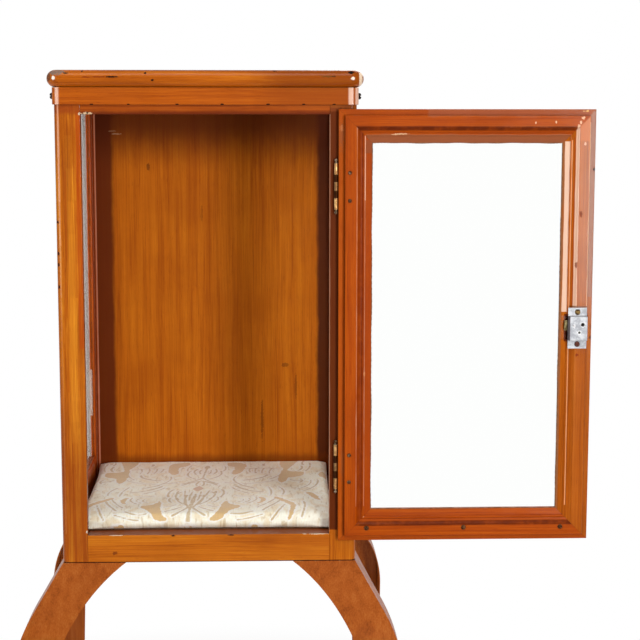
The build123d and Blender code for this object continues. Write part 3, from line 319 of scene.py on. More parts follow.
def effect(name: str, *outputs: str, **inputs: Value) -> Callable[[Lay], Callable[..., Sockets]]:
    """Turns a function that lays nodes into one that places them as a group, made once.

    Args:
        name: The group's name.
        outputs: Output names.
        inputs: Input names with their first values. A tuple makes a vector.

    Returns:
        The decorator.
    """

    def wrap(lay: Lay) -> Callable[..., Sockets]:
        """Gives a function that takes a graph and values by input name, and returns the outputs.

        Args:
            lay: Lays the group's nodes.

        Returns:
            The function that places the group.
        """

        def placed(graph: Graph, **values: Value) -> Sockets:
            """Places the group in a graph."""
            tree = bpy.data.node_groups.get(name) or group(name, outputs, inputs, lay)
            return graph.add("ShaderNodeGroup", values, node_tree=tree).outputs

        return placed

    return wrap


@effect("grain lines", "Streak", "Band", "Pore", Vector=ZERO)
def grain_lines(graph: Graph, inputs: Sockets) -> tuple[Socket, ...]:
    """Painted wood grain along Z of the given coordinates.

    Three stretched noises, the fine one a thousand features per metre across the grain, on
    coordinates whose X and Y sway a few millimetres over a hand's length.

    Args:
        graph: The group's graph.
        inputs: The group's inputs.

    Returns:
        Streak, band and pore.
    """
    place = inputs["Vector"]
    sway = graph.noise(graph.scaled(place, (1.0, 1.0, 0.5)), 9.0, 1.0)
    x, y, z = graph.split(place)
    x = graph.sum_of(sway, 0.007, x)
    y = graph.sum_of(sway, 0.007, y)
    fine, middling, short = (graph.joined(x, y, graph.times(z, squeeze)) for squeeze in (0.012, 0.03, 0.05))
    streak = graph.noise(fine, 640.0, 3.0, 0.66)
    band = graph.noise(middling, 105.0, 2.0, 0.5)
    return streak, band, graph.fade(graph.noise(short, 1500.0, 2.0, 0.5), 0.60, 0.72)


@effect("rubbed edges", "Mask", Vector=ZERO, Reach=0.0012, Amount=0.5, Scale=60.0)
def rubbed_edges(graph: Graph, inputs: Sockets) -> tuple[Socket, ...]:
    """Paint rubbed off along outer edges.

    The rounded normal from the Bevel node turns away from the true one near an edge; where
    it has turned far enough, and a coarse noise allows, the edge is rubbed.

    Args:
        graph: The group's graph.
        inputs: The group's inputs.

    Returns:
        The mask.
    """
    bevel = graph.add("ShaderNodeBevel", {"Radius": inputs["Reach"]}, samples=6).outputs[0]
    true = graph.add("ShaderNodeNewGeometry").outputs["True Normal"]
    turned = graph.less(1.0, graph.vector("DOT_PRODUCT", bevel, true)["Value"])
    noise = graph.noise(inputs["Vector"], inputs["Scale"], 5.0, 0.62)
    bar = graph.less(0.86, graph.times(inputs["Amount"], 0.5))
    allowed = graph.math("MULTIPLY", graph.less(noise, bar), 14.0, clamp=True)
    return (graph.times(graph.fade(turned, 0.01, 0.09), allowed),)


@effect("crevice dirt", "Mask", Vector=ZERO, Reach=0.008)
def crevice_shade_and_soiling(graph: Graph, inputs: Sockets) -> tuple[Socket, ...]:
    """Painted shade and old soiling in the inner corners, from the share of nearby sky that a point is cut
    off from.

    Args:
        graph: The group's graph.
        inputs: The group's inputs.

    Returns:
        The mask.
    """
    shelter = graph.add("ShaderNodeAmbientOcclusion", {"Distance": inputs["Reach"]}, samples=8)
    shelter.only_local = False
    cut_off = graph.less(1.0, shelter.outputs["AO"])
    patchy = graph.noise(inputs["Vector"], 140.0, 4.0, 0.6)
    return (graph.times(graph.fade(cut_off, 0.12, 0.62), graph.fade(patchy, 0.25, 0.62, 0.45, 1.0)),)


@effect("ragged spot", "Mask", Vector=ZERO, Place=ZERO, Reach=(1.0, 1.0, 1.0), Ragged=0.6)
def ragged_spot(graph: Graph, inputs: Sockets) -> tuple[Socket, ...]:
    """One ragged spot: an ellipsoid round a place, its edge broken by noise.

    The spot holds where the distance, in units of its radii, plus noise is under one.

    Args:
        graph: The group's graph.
        inputs: The group's inputs.

    Returns:
        The mask.
    """
    away = graph.vector("SUBTRACT", inputs["Vector"], inputs["Place"])[0]
    length = graph.vector("LENGTH", graph.vector("DIVIDE", away, inputs["Reach"])[0])["Value"]
    broken = graph.less(graph.noise(inputs["Vector"], 420.0, 4.0, 0.6), 0.5)
    edge = graph.sum_of(graph.times(broken, inputs["Ragged"]), 3.0, length)
    return (graph.fade(edge, 1.0, 0.72),)


@effect("door inset", "Inset", "Mitre", Vector=ZERO, Left=0.0, Right=1.0, Low=0.0, High=1.0)
def door_inset(graph: Graph, inputs: Sockets) -> tuple[Socket, ...]:
    """Distance inward from the door's outer edge, and distance from its mitre lines.

    The inset is the least distance to the four sides. The mitre value is the difference
    between the distances to the nearest upright and level side, which is zero on a mitre.

    Args:
        graph: The group's graph.
        inputs: The group's inputs.

    Returns:
        The inset and the mitre value, in metres.
    """
    x, _, z = graph.split(inputs["Vector"])
    across = graph.math("MINIMUM", graph.less(x, inputs["Left"]), graph.less(inputs["Right"], x))
    upward = graph.math("MINIMUM", graph.less(z, inputs["Low"]), graph.less(inputs["High"], z))
    return graph.math("MINIMUM", across, upward), graph.math("ABSOLUTE", graph.less(across, upward))


@effect("soft box", "Mask", Vector=ZERO, Low=ZERO, High=(1.0, 1.0, 1.0), Soft=0.003, Sway=0.0)
def soft_box(graph: Graph, inputs: Sockets) -> tuple[Socket, ...]:
    """A soft-edged box: one inside it, falling to nothing over a distance outside it.

    The distance outside is the greatest, over the three axes, of how far the place is past
    either face, and a noise moves it in and out.

    Args:
        graph: The group's graph.
        inputs: The group's inputs.

    Returns:
        The mask.
    """
    place = inputs["Vector"]
    under = graph.vector("SUBTRACT", inputs["Low"], place)[0]
    over = graph.vector("SUBTRACT", place, inputs["High"])[0]
    x, y, z = graph.split(graph.vector("MAXIMUM", under, over)[0])
    wander = graph.less(graph.noise(graph.scaled(place, (1.0, 1.0, 0.4)), 45.0, 4.0, 0.6), 0.5)
    past = graph.sum_of(wander, inputs["Sway"], graph.most(graph.most(x, y), z))
    return (graph.step(past, 0.0, inputs["Soft"], 1.0, 0.0),)


class Run(Enum):
    """Which way the painted grain runs on a piece."""

    UP = "up"
    ACROSS = "across"
    BACK = "back"

    def along(self, graph: Graph, place: Socket) -> Socket:
        """The place with its parts swapped so that the grain runs along Z.

        Args:
            graph: The material's graph.
            place: Coordinates in the cabinet's frame.

        Returns:
            The swapped coordinates.
        """
        x, y, z = graph.split(place)
        order = {Run.UP: (x, y, z), Run.ACROSS: (z, y, x), Run.BACK: (x, z, y)}
        return graph.joined(*order[self])


@dataclass(frozen=True)
class Mark:
    """One spot where the paint is rubbed, chipped or stained."""

    at: Triple
    reach: Triple
    tone: Tone
    ragged: float = 0.6
    strength: float = 1.0


@dataclass(frozen=True)
class Band:
    """A strip of changed colour between two insets from the door's edge."""

    start: float
    end: float
    soft: float
    tone: Tone
    strength: float


@dataclass(frozen=True)
class Shade:
    """A soft-edged box where the paint has another colour."""

    low: Triple
    high: Triple
    soft: float
    tone: Tone
    strength: float = 1.0
    sway: float = 0.0


def spots(y: float, deep: float, *rows: tuple) -> tuple[Mark, ...]:
    """Marks on one face.

    Args:
        y: The face.
        deep: The marks' reach in Y.
        rows: X, Z, the reach in X and in Z, then a mark's tone, ragged and strength.

    Returns:
        The marks.
    """
    return tuple(Mark((x, y, z), (wide, deep, tall), *look) for x, z, wide, tall, *look in rows)


def boxes(front: float, back: float, *rows: tuple) -> tuple[Shade, ...]:
    """Shades between two depths.

    Args:
        front: Where they start in Y.
        back: Where they end in Y.
        rows: Left, right, foot and top, then a shade's soft, tone, strength and sway.

    Returns:
        The shades.
    """
    return tuple(
        Shade((left, front, foot), (right, back, top), *look) for left, right, foot, top, *look in rows
    )


class Surface(Graph):
    """A material being made: its nodes, its main shader and its output."""

    def __init__(self, name: str) -> None:
        """Makes the empty material with a Principled shader.

        Args:
            name: The material's name.
        """
        self.material = bpy.data.materials.new(name)
        self.material.use_nodes = True
        super().__init__(self.material.node_tree)
        self.tree.nodes.clear()
        self.out = self.add("ShaderNodeOutputMaterial").inputs["Surface"]
        self.shader = self.add("ShaderNodeBsdfPrincipled")
        self.put(self.out, self.shader.outputs[0])

    @functools.cached_property
    def place(self) -> Socket:
        """Object coordinates, which are the cabinet's own frame in metres."""
        return self.add("ShaderNodeTexCoord").outputs["Object"]

    def feed(self, **values: Value) -> bpy.types.Material:
        """Sets or links the shader's inputs.

        Args:
            values: Values or links by input name, with underscores for spaces.

        Returns:
            The material.
        """
        for title, value in values.items():
            self.put(self.shader.inputs[title.replace("_", " ")], value)
        return self.material

    def mixed_out(self, factor: Socket, other: bpy.types.Node) -> None:
        """Sends a mix of the main shader and another one to the output."""
        both = self.add("ShaderNodeMixShader", {0: factor, 1: self.shader.outputs[0], 2: other.outputs[0]})
        self.put(self.out, both.outputs[0])

    def bump(self, height: Socket, strength: float, depth: float) -> Socket:
        """A normal from a height of 0 to 1 that stands for a depth in metres."""
        inputs = {"Strength": strength, "Distance": depth, "Height": height}
        return self.add("ShaderNodeBump", inputs).outputs[0]

    def shaded(self, color: Socket, shades: Iterable[Shade]) -> Socket:
        """Lays soft-edged boxes of other colours over a colour.

        Args:
            color: The colour so far.
            shades: The boxes.

        Returns:
            The changed colour.
        """
        for shade in shades:
            sizes = {"Low": metres(shade.low), "High": metres(shade.high), "Soft": shade.soft * MM}
            mask = soft_box(self, Vector=self.place, Sway=shade.sway * MM, **sizes)["Mask"]
            color = self.over(color, self.times(mask, shade.strength), shade.tone)
        return color

    def marked(self, color: Socket, bare: Value, marks: Iterable[Mark]) -> tuple[Socket, Value]:
        """Lays ragged spots over a colour.

        Args:
            color: The colour so far.
            bare: How far the finish is gone so far, 0 to 1.
            marks: The spots.

        Returns:
            The changed colour, and how far the finish is gone.
        """
        for mark in marks:
            sizes = {"Place": metres(mark.at), "Reach": metres(mark.reach)}
            spot = ragged_spot(self, Vector=self.place, Ragged=mark.ragged, **sizes)["Mask"]
            worn = self.times(spot, mark.strength)
            color = self.over(color, worn, mark.tone)
            bare = self.most(bare, worn)
        return color, bare


class Finish(Protocol):
    """Anything that makes a material."""

    def build(self) -> bpy.types.Material:
        """Makes the material."""


@dataclass(frozen=True)
class GrainPaint:
    """Steel painted and grained to look like oiled wood, glossy, rubbed and chipped."""

    name: str
    run: Run = Run.UP
    dark: Tone = (140, 62, 0)
    base: Tone = (188, 99, 10)
    pale: Tone = (212, 130, 26)
    grain: float = 1.0
    rubbed: Tone = (206, 150, 96)
    rub: float = 0.35
    # Tone and strength of the darkened corners: painted shade, with old soiling.
    darkening: Tone = (44, 16, 4)
    corner_shade_and_grime: float = 0.8
    gloss: float = 0.3
    rough: float = 0.42
    shades: tuple[Shade, ...] = ()
    marks: tuple[Mark, ...] = ()

    def tinted(self, surface: Surface, color: Socket) -> Socket:
        """Colour changes of one kind of piece. Plain paint has only its shades."""
        return surface.shaded(color, self.shades)

    def build(self) -> bpy.types.Material:
        """Makes the material: a grained ramp of three colours, then painted shade and soiling in the corners,
        rubbed edges and marks.

        Returns:
            The finished material.
        """
        surface = Surface(self.name)
        place = surface.place
        lines = grain_lines(surface, Vector=self.run.along(surface, place))
        spread = surface.sum_of(surface.less(lines["Streak"], 0.5), self.grain, 0.5)
        tone = surface.sum_of(surface.less(lines["Band"], 0.5), 0.8 * self.grain, spread)
        color = surface.ramp(tone, ((0.1, self.dark), (0.5, self.base), (0.9, self.pale)))
        pores = surface.times(lines["Pore"], 0.3 * self.grain)
        color = surface.mix(pores, color, linear(self.dark), "MULTIPLY")
        cloud = surface.fade(surface.noise(place, 11.0, 3.0, 0.55), 0.4, 0.75, 0.0, 0.28 * self.grain)
        color = self.tinted(surface, surface.over(color, cloud, self.dark))
        # Corners darkened where they are cut off from the sky: painted shade, with old soiling.
        darkening = crevice_shade_and_soiling(surface, Vector=place, Reach=0.006)["Mask"]
        color = surface.over(color, surface.times(darkening, self.corner_shade_and_grime), self.darkening)
        edge = rubbed_edges(surface, Vector=place, Reach=0.0011, Amount=self.rub, Scale=70.0)["Mask"]
        color, bare = surface.marked(surface.over(color, edge, self.rubbed), edge, self.marks)
        smears = surface.noise(place, 34.0, 5.0, 0.65)
        rough = surface.fade(smears, 0.3, 0.75, self.rough - 0.06, self.rough + 0.12)
        coat = surface.times(surface.less(1.0, bare), self.gloss)
        height = surface.sum_of(lines["Streak"], 0.5, surface.times(bare, -0.6))
        return surface.feed(
            Base_Color=color, Roughness=surface.between(bare, rough, 0.62),
            Normal=surface.bump(height, 0.16, 0.0003),
            Specular_IOR_Level=0.08, Coat_Weight=coat, Coat_Roughness=0.13, Coat_IOR=1.5,
        )


@dataclass(frozen=True)
class DoorPaint(GrainPaint):
    """The door's redder paint, with its mouldings picked out by painted shade, painted highlights, wear and
    mitre lines.
    """

    left: float = 178.1
    right: float = 525.1
    low: float = 590.1
    high: float = 1183.5
    bands: tuple[Band, ...] = ()
    mitre: Tone = (84, 28, 4)

    def tinted(self, surface: Surface, color: Socket) -> Socket:
        """Shades the strips between insets, and draws the thin line of each mitre.

        Args:
            surface: The material being made.
            color: The grained colour so far.

        Returns:
            The changed colour.
        """
        sides = {side: getattr(self, side.lower()) * MM for side in ("Left", "Right", "Low", "High")}
        where = door_inset(surface, Vector=surface.place, **sides)
        patchy = surface.fade(surface.noise(surface.place, 55.0, 4.0, 0.6), 0.25, 0.6, 0.45, 1.0)
        for band in self.bands:
            rise = surface.fade(where["Inset"], (band.start - band.soft) * MM, band.start * MM)
            fall = surface.fade(where["Inset"], (band.end + band.soft) * MM, band.end * MM)
            strip = surface.times(surface.times(rise, fall), band.strength)
            color = surface.over(color, surface.times(strip, patchy), band.tone)
        line = surface.fade(where["Mitre"], 0.7 * MM, 0.25 * MM, 0.0, 0.3)
        return super().tinted(surface, surface.over(color, line, self.mitre))


@dataclass(frozen=True)
class ClearGlass:
    """Old window glass: clear, faintly green, a little dusty."""

    name: str = "clear glass"
    tint: Tone = (254, 255, 254)

    def build(self) -> bpy.types.Material:
        """Makes the material. Light for diffuse surfaces passes straight through.

        Returns:
            The finished material.
        """
        surface = Surface(self.name)
        dust = surface.fade(surface.noise(surface.place, 24.0, 5.0, 0.65), 0.45, 0.8, 0.0, 0.05)
        ripple = surface.bump(surface.noise(surface.place, 5.0, 1.0), 0.05, 0.0004)
        path = surface.add("ShaderNodeLightPath").outputs
        passing = surface.most(path["Is Shadow Ray"], path["Is Diffuse Ray"])
        surface.mixed_out(passing, surface.add("ShaderNodeBsdfTransparent", {0: linear((252, 254, 252))}))
        return surface.feed(
            Base_Color=linear(self.tint), Roughness=dust, IOR=1.2, Transmission_Weight=1.0, Normal=ripple
        )


@dataclass(frozen=True)
class WornMetal:
    """Metal with a darker film that rubs off on the edges and high spots."""

    name: str
    bright: Tone
    film: Tone
    cover: float
    spots: float = 170.0
    rough: float = 0.34
    metallic: float = 1.0
    rub: float = 0.8
    brushed: float = 0.0
    shades: tuple[Shade, ...] = ()
    marks: tuple[Mark, ...] = ()
    # Tone of the darkened corners: painted shade, with old soiling.
    darkening: Tone = (30, 22, 16)

    def build(self) -> bpy.types.Material:
        """Makes the material: bright metal under a blotchy film, then shades, painted shade and soiling in
        the corners, and marks.

        Returns:
            The finished material.
        """
        surface = Surface(self.name)
        place = surface.place
        blotch = surface.noise(place, self.spots, 5.0, 0.66, 0.3)
        fine = surface.noise(place, self.spots * 7, 3.0, 0.6)
        film = surface.sum_of(fine, 0.25, surface.times(blotch, 0.8))
        film = surface.fade(film, 0.62 - 0.35 * self.cover, 0.78 - 0.35 * self.cover)
        edge = rubbed_edges(surface, Vector=place, Reach=0.0007, Amount=1.4, Scale=120.0)["Mask"]
        film = surface.times(film, surface.less(1.0, surface.times(edge, self.rub)))
        # Corners darkened where they are cut off from the sky: painted shade, with old soiling.
        darkening = crevice_shade_and_soiling(surface, Vector=place, Reach=0.0025)["Mask"]
        color = surface.shaded(surface.over(linear(self.bright), film, self.film), self.shades)
        color = surface.over(color, surface.times(darkening, 0.6), self.darkening)
        color, spoiled = surface.marked(color, 0.0, self.marks)
        lines = surface.noise(surface.scaled(place, (1.0, 1.0, 0.03)), 2600.0, 2.0)
        height = surface.sum_of(lines, self.brushed, surface.times(blotch, 0.5))
        return surface.feed(
            Base_Color=color, Roughness=surface.between(film, self.rough, self.rough + 0.22),
            Metallic=surface.between(spoiled, self.metallic, 0.0),
            Normal=surface.bump(height, 0.25, 0.00025),
        )


@dataclass(frozen=True)
class PlainMatter:
    """Dull stuff with a mottled colour: putty, rubber, millboard."""

    name: str
    base: Tone
    other: Tone
    spots: float = 220.0
    rough: float = 0.75
    lumps: float = 0.0004

    def build(self) -> bpy.types.Material:
        """Makes the material.

        Returns:
            The finished material.
        """
        surface = Surface(self.name)
        mottle = surface.noise(surface.place, self.spots, 5.0, 0.65)
        color = surface.over(linear(self.base), surface.fade(mottle, 0.35, 0.65), self.other)
        rough = surface.fade(mottle, 0.2, 0.8, self.rough - 0.08, self.rough + 0.12)
        return surface.feed(Base_Color=color, Roughness=rough, Normal=surface.bump(mottle, 0.5, self.lumps))


@dataclass(frozen=True)
class DamaskDrawing:
    """A palmette over a flower, with scrolling leaves: the same on both sides of a line.

    Places are millimetres on the cloth: the first number is the distance from the middle
    line, which leans, and the second goes to the back of the cabinet. A stroke's row holds
    the start, the pull point and the end of a bent line, and its width.
    """

    foot: float = -20.5
    lean: float = 0.066
    grounds: tuple[tuple[Place, ...], ...] = (
        (
            (30, 158), (52, 154), (61, 140), (60, 118), (57, 88), (47, 71), (40, 82), (46, 124),
            (33, 131), (29, 145),
        ),
        (
            (112, 178), (112, 138), (121, 112), (117, 80), (114, 43), (120, 18), (125, 20), (130, 38),
            (131, 54), (148, 57), (155, 76), (152, 93), (131, 92), (126, 103), (129, 112), (137, 150),
            (143, 178),
        ),
        (
            (101, -70), (105, -80), (105, -92), (99, -104), (92, -105), (97, -96), (98, -86),
            (96, -76), (93, -69),
        ),
        (
            (48, -86), (52, -105), (60, -112), (71, -116), (71, -127), (60, -136), (53, -147),
            (46, -163), (27, -164), (38, -148), (43, -128), (43, -106),
        ),
        (
            (119, -66), (128, -78), (141, -94), (150, -112), (150, -130), (145, -164), (140, -164),
            (144, -130), (142, -114), (132, -99), (121, -82), (115, -71),
        ),
        ((176, 60), (190, 44), (190, 88), (178, 92)),
        ((0, -170), (9, -172), (14, -180), (10, -192), (0, -192)),
        ((86, -172), (98, -170), (112, -178), (104, -192), (90, -192)),
        ((160, -44), (168, -40), (178, -60), (186, -92), (176, -84), (168, -64)),
    )
    bud: tuple[Place, ...] = ((-1, 4), (3, -4), (8, -14), (7, -20), (3, -28), (-1, -34))
    strokes: tuple[tuple[float, ...], ...] = (
        (0, 134, 0, 100, 0, 48, 1.1), (1, 132, 4, 124, 1, 116, 1.6), (14, 112, 21, 95, 13, 76, 1.3),
        (7, 106, 11, 92, 6, 78, 1.0), (23, 98, 33, 68, 10, 44, 1.2), (26, 134, 33, 112, 27, 96, 1.0),
        (1, 50, 9, 32, 27, 14, 1.4), (4, 30, 12, 26, 26, 6, 1.5), (2, 30, 8, 14, 4, 2, 1.2),
        (97, 70, 95, 48, 64, 36, 2.0), (119, 100, 122, 70, 103, 42, 1.0),
        (114, 40, 100, 18, 64, 14, 1.0), (50, 62, 42, 36, 62, 8, 1.1), (68, 113, 66, 102, 70, 88, 1.0),
        (78, 116, 75, 100, 79, 84, 1.1), (90, 117, 86, 100, 89, 82, 1.1),
        (102, 114, 98, 98, 100, 82, 1.1), (63, 112, 88, 124, 116, 108, 1.2),
        (88, 134, 86, 139, 88, 146, 1.8), (83, -14, 74, -6, 61, 6, 1.7),
        (74, -24, 64, -13, 55, -3, 1.4), (56, 0, 66, -28, 97, -38, 1.7),
        (50, -8, 56, -28, 78, -46, 1.2), (28, -30, 31, -80, 12, -108, 1.2),
        (18, -28, 14, -76, 4, -124, 1.2), (0, -48, 3, -90, 1, -118, 1.2),
        (22, -36, 35, -54, 22, -80, 1.3), (12, -54, 15, -84, 8, -112, 1.4),
        (36, -22, 44, -40, 38, -66, 1.5), (34, -70, 38, -84, 30, -98, 1.3),
        (6, -34, 8, -60, 6, -86, 1.1), (3, -124, 10, -142, 23, -152, 1.5),
        (0, -122, 0, -142, 2, -164, 1.3), (12, -122, 24, -136, 34, -140, 1.2),
        (22, -112, 30, -122, 38, -124, 1.0), (90, -71, 95, -88, 79, -105, 1.1),
        (80, -76, 86, -90, 73, -100, 1.0), (71, -80, 76, -90, 66, -96, 0.9),
        (60, -60, 70, -66, 84, -62, 1.0), (128, -78, 122, -108, 104, -138, 1.4),
        (118, -78, 112, -100, 96, -126, 1.1), (134, -112, 128, -140, 118, -162, 1.2),
        (160, -96, 166, -120, 160, -158, 1.3), (176, 38, 181, -6, 157, -34, 1.2),
        (166, 34, 170, 2, 148, -22, 1.0), (134, 40, 142, 28, 152, 30, 1.5),
        (150, 20, 156, 30, 150, 42, 1.2), (120, -8, 132, -30, 128, -54, 1.1),
        (104, -6, 112, -34, 110, -60, 1.0), (148, 128, 152, 112, 144, 98, 1.6),
        (160, 150, 164, 120, 156, 96, 1.2), (150, 164, 146, 150, 150, 138, 1.3),
        (60, -148, 76, -152, 90, -142, 1.2), (70, -162, 86, -160, 104, -150, 1.1),
        (36, 24, 46, 16, 54, 20, 1.2),
    )

    def rounded(self, shape: Iterable[Place]) -> np.ndarray:
        """A closed outline with its corners cut twice, each time at a quarter of each side.

        Args:
            shape: The outline's corners.

        Returns:
            The corners after the cuts, rows of two.
        """
        points = np.array(tuple(shape), dtype=float)
        for _ in range(2):
            after = np.roll(points, -1, axis=0)
            cuts = (0.75 * points + 0.25 * after, 0.25 * points + 0.75 * after)
            points = np.stack(cuts, axis=1).reshape(-1, 2)
        return points

    def curve(self, stroke: tuple[float, ...], steps: int = 10) -> np.ndarray:
        """Points on the quadratic Bezier curve of a stroke's three places.

        Args:
            stroke: A stroke's row.
            steps: How many points.

        Returns:
            The points, rows of two.
        """
        first, pull, last = np.array(stroke[:6], dtype=float).reshape(3, 2)
        t = np.linspace(0.0, 1.0, steps)[:, None]
        return (1 - t) ** 2 * first + 2 * t * (1 - t) * pull + t ** 2 * last

    def gap(self, places: np.ndarray, path: np.ndarray) -> np.ndarray:
        """The least distance from each place to a path, over its straight pieces.

        Args:
            places: The spots, rows of two.
            path: The path's points, rows of two.

        Returns:
            One distance for each spot.
        """
        least = np.full(len(places), 1e9)
        for start, end in zip(path[:-1], path[1:]):
            along = end - start
            share = np.clip(((places - start) @ along) / max(along @ along, 1e-9), 0.0, 1.0)
            away = places - start - share[:, None] * along
            least = np.minimum(least, np.einsum("ij,ij->i", away, away))
        return np.sqrt(least)

    def inside(self, places: np.ndarray, shape: np.ndarray) -> np.ndarray:
        """How deep each place is in a closed outline, negative outside.

        The sign comes from how often a ray to the right crosses the outline.

        Args:
            places: The spots, rows of two.
            shape: The outline's corners, rows of two.

        Returns:
            One depth for each spot.
        """
        odd = np.zeros(len(places), dtype=bool)
        after = np.roll(shape, -1, axis=0)
        for (x0, y0), (x1, y1) in zip(shape, after):
            straddles = (y0 > places[:, 1]) != (y1 > places[:, 1])
            cross = x0 + (places[:, 1] - y0) * (x1 - x0) / (y1 - y0 if y1 != y0 else 1e-9)
            odd ^= straddles & (places[:, 0] < cross)
        depth = self.gap(places, np.vstack([shape, shape[:1]]))
        return np.where(odd, depth, -depth)

    def fields(self, cloth: np.ndarray) -> tuple[np.ndarray, np.ndarray, np.ndarray]:
        """Works out the drawing at every point of the cloth.

        Args:
            cloth: Places on the cloth, rows of two, in millimetres.

        Returns:
            Depth in the ground, depth in the bud, and depth in the nearest stroke.
        """
        middle = self.foot + self.lean * cloth[:, 1]
        half = np.stack([np.abs(cloth[:, 0] - middle), cloth[:, 1]], axis=1)
        ground = np.max([self.inside(half, self.rounded(shape)) for shape in self.grounds], axis=0)
        bud = self.inside(half, self.rounded(self.bud))
        line = np.max([stroke[6] - self.gap(half, self.curve(stroke)) for stroke in self.strokes], axis=0)
        return ground, bud, line


@dataclass(frozen=True)
class Damask:
    """Woven cream damask. The drawing comes as attributes of the mesh, in millimetres."""

    name: str = "damask"
    ground: Tone = (226, 192, 138)
    motif: Tone = (255, 254, 238)
    dusky: Tone = (244, 231, 200)
    rim: Tone = (255, 255, 250)
    line: Tone = (196, 168, 118)
    bud: Tone = (212, 168, 132)
    gaps: Tone = (150, 124, 92)

    def build(self) -> bpy.types.Material:
        """Makes the material. It reads the pad's own UV map, laid out in metres.

        Returns:
            The finished material.
        """
        surface = Surface(self.name)
        cloth = surface.add("ShaderNodeUVMap", uv_map="cloth").outputs[0]
        ground, bud, line = (
            surface.add("ShaderNodeAttribute", attribute_name=name).outputs["Fac"]
            for name in ("ground", "bud", "stroke")
        )
        ragged = surface.times(surface.less(surface.noise(cloth, 110.0, 3.0, 0.6), 0.5), 7.0)
        ground = surface.math("ADD", ground, ragged)
        line = surface.math("ADD", line, surface.times(ragged, 0.45))
        tan = surface.fade(ground, -0.5, 0.6)
        figure = surface.less(1.0, tan)
        rim = surface.times(surface.fade(ground, -5.0, -1.0), figure)
        drawn = surface.times(surface.fade(line, -0.9, 0.5), figure)
        beside = surface.times(surface.fade(line, -3.6, -1.4), surface.less(1.0, drawn))
        folds = surface.noise(surface.scaled(cloth, (1.0, 0.55, 1.0)), 46.0, 4.0, 0.6, 1.2)
        hatch = surface.noise(surface.scaled(cloth, (1.0, 0.22, 1.0)), 170.0, 3.0, 0.6, 0.6)
        slub = surface.noise(surface.scaled(cloth, (1.0, 0.1, 1.0)), 620.0, 2.0)
        weft = surface.noise(surface.scaled(cloth, (0.1, 1.0, 1.0)), 800.0, 2.0)
        thread = surface.times(surface.math("ADD", slub, weft), 0.5)
        color = linear(self.motif)
        for factor, tone in (
            (surface.fade(folds, 0.42, 0.66), self.dusky),
            (surface.fade(hatch, 0.54, 0.66, 0.0, 0.5), self.line),
            (surface.times(beside, 0.8), self.rim),
            (surface.times(rim, 0.8), self.rim),
            (surface.times(drawn, 0.75), self.line),
            (tan, self.ground),
            (surface.fade(bud, -0.8, 0.8, 0.0, 0.85), self.bud),
            (surface.fade(thread, 0.36, 0.62, 0.14, 0.0), self.gaps),
        ):
            color = surface.over(color, factor, tone)
        waves = {"Vector": cloth, "Scale": 380.0, "Distortion": 0.6, "Detail": 1.0}
        ribs = surface.add("ShaderNodeTexWave", waves, bands_direction="Y").outputs[1]
        height = surface.sum_of(tan, -0.9, surface.times(drawn, -0.6))
        height = surface.sum_of(thread, 0.5, height)
        height = surface.sum_of(ribs, surface.between(tan, 0.1, 0.3), height)
        return surface.feed(
            Base_Color=color, Roughness=surface.between(tan, 0.62, 0.85),
            Normal=surface.bump(height, 0.55, 0.0005),
            Specular_IOR_Level=0.3, Sheen_Weight=0.45, Sheen_Roughness=0.4,
        )


@dataclass(frozen=True)
class PaleFloor:
    """A pale floor that keeps the shadow near the cabinet and is white further off."""

    name: str = "pale floor"
    tone: Tone = (226, 225, 223)
    speck: Tone = (205, 204, 202)
    near: float = 0.55
    far: float = 1.25
    room: float = 0.2

    def build(self) -> bpy.types.Material:
        """Makes the material.

        Returns:
            The finished material.
        """
        surface = Surface(self.name)
        specks = surface.fade(surface.noise(surface.place, 40.0, 4.0), 0.3, 0.7, 0.0, 0.05)
        away = surface.vector("LENGTH", surface.place)["Value"]
        clear, seen = surface.rays()
        mirrored = surface.fade(surface.split(surface.place)[1], -0.9, 0.2, self.room, 1.0)
        white = surface.add("ShaderNodeEmission", {0: WHITE, 1: surface.most(mirrored, clear)})
        surface.mixed_out(surface.times(seen, surface.fade(away, self.near, self.far)), white)
        return surface.feed(Base_Color=surface.over(linear(self.tone), specks, self.speck), Roughness=0.7)


def grid_mesh(
    name: str, points: np.ndarray, closed_u: bool = False, closed_v: bool = False
) -> bpy.types.Object:
    """A surface from a grid of points.

    Each cell of the grid becomes one face, and a closed direction joins its last row to its
    first.

    Args:
        name: The object's name.
        points: Rows by columns by three, in metres.
        closed_u: Whether the rows close.
        closed_v: Whether the columns close.

    Returns:
        The new object, at the origin.
    """
    rows, columns = points.shape[:2]
    index = np.arange(rows * columns).reshape(rows, columns)
    if closed_u:
        index = np.vstack([index, index[:1]])
    if closed_v:
        index = np.hstack([index, index[:, :1]])
    cells = (index[:-1, :-1], index[:-1, 1:], index[1:, 1:], index[1:, :-1])
    faces = np.stack(cells, axis=-1).reshape(-1, 4)
    mesh = bpy.data.meshes.new(name)
    mesh.from_pydata(points.reshape(-1, 3).tolist(), [], faces.tolist())
    mesh.update()
    made = bpy.data.objects.new(name, mesh)
    bpy.context.scene.collection.objects.link(made)
    return made


def smooth(thing: bpy.types.Object) -> None:
    """Shades every face of a mesh smoothly."""
    thing.data.polygons.foreach_set("use_smooth", np.ones(len(thing.data.polygons), dtype=bool))
    thing.data.update()


def vertices(thing: bpy.types.Object) -> np.ndarray:
    """The mesh's points as rows of three.

    Args:
        thing: The object.

    Returns:
        Its points, in metres.
    """
    flat = np.empty(len(thing.data.vertices) * 3)
    thing.data.vertices.foreach_get("co", flat)
    return flat.reshape(-1, 3)


def move_vertices(thing: bpy.types.Object, points: np.ndarray) -> None:
    """Puts a mesh's points at new places."""
    thing.data.vertices.foreach_set("co", points.reshape(-1))
    thing.data.update()


def applied(thing: bpy.types.Object) -> bpy.types.Object:
    """Applies every modifier of an object.

    Args:
        thing: The object.

    Returns:
        The same object, without modifiers.
    """
    shown = thing.evaluated_get(bpy.context.evaluated_depsgraph_get())
    mesh = bpy.data.meshes.new_from_object(shown)
    thing.modifiers.clear()
    thing.data = mesh
    return thing


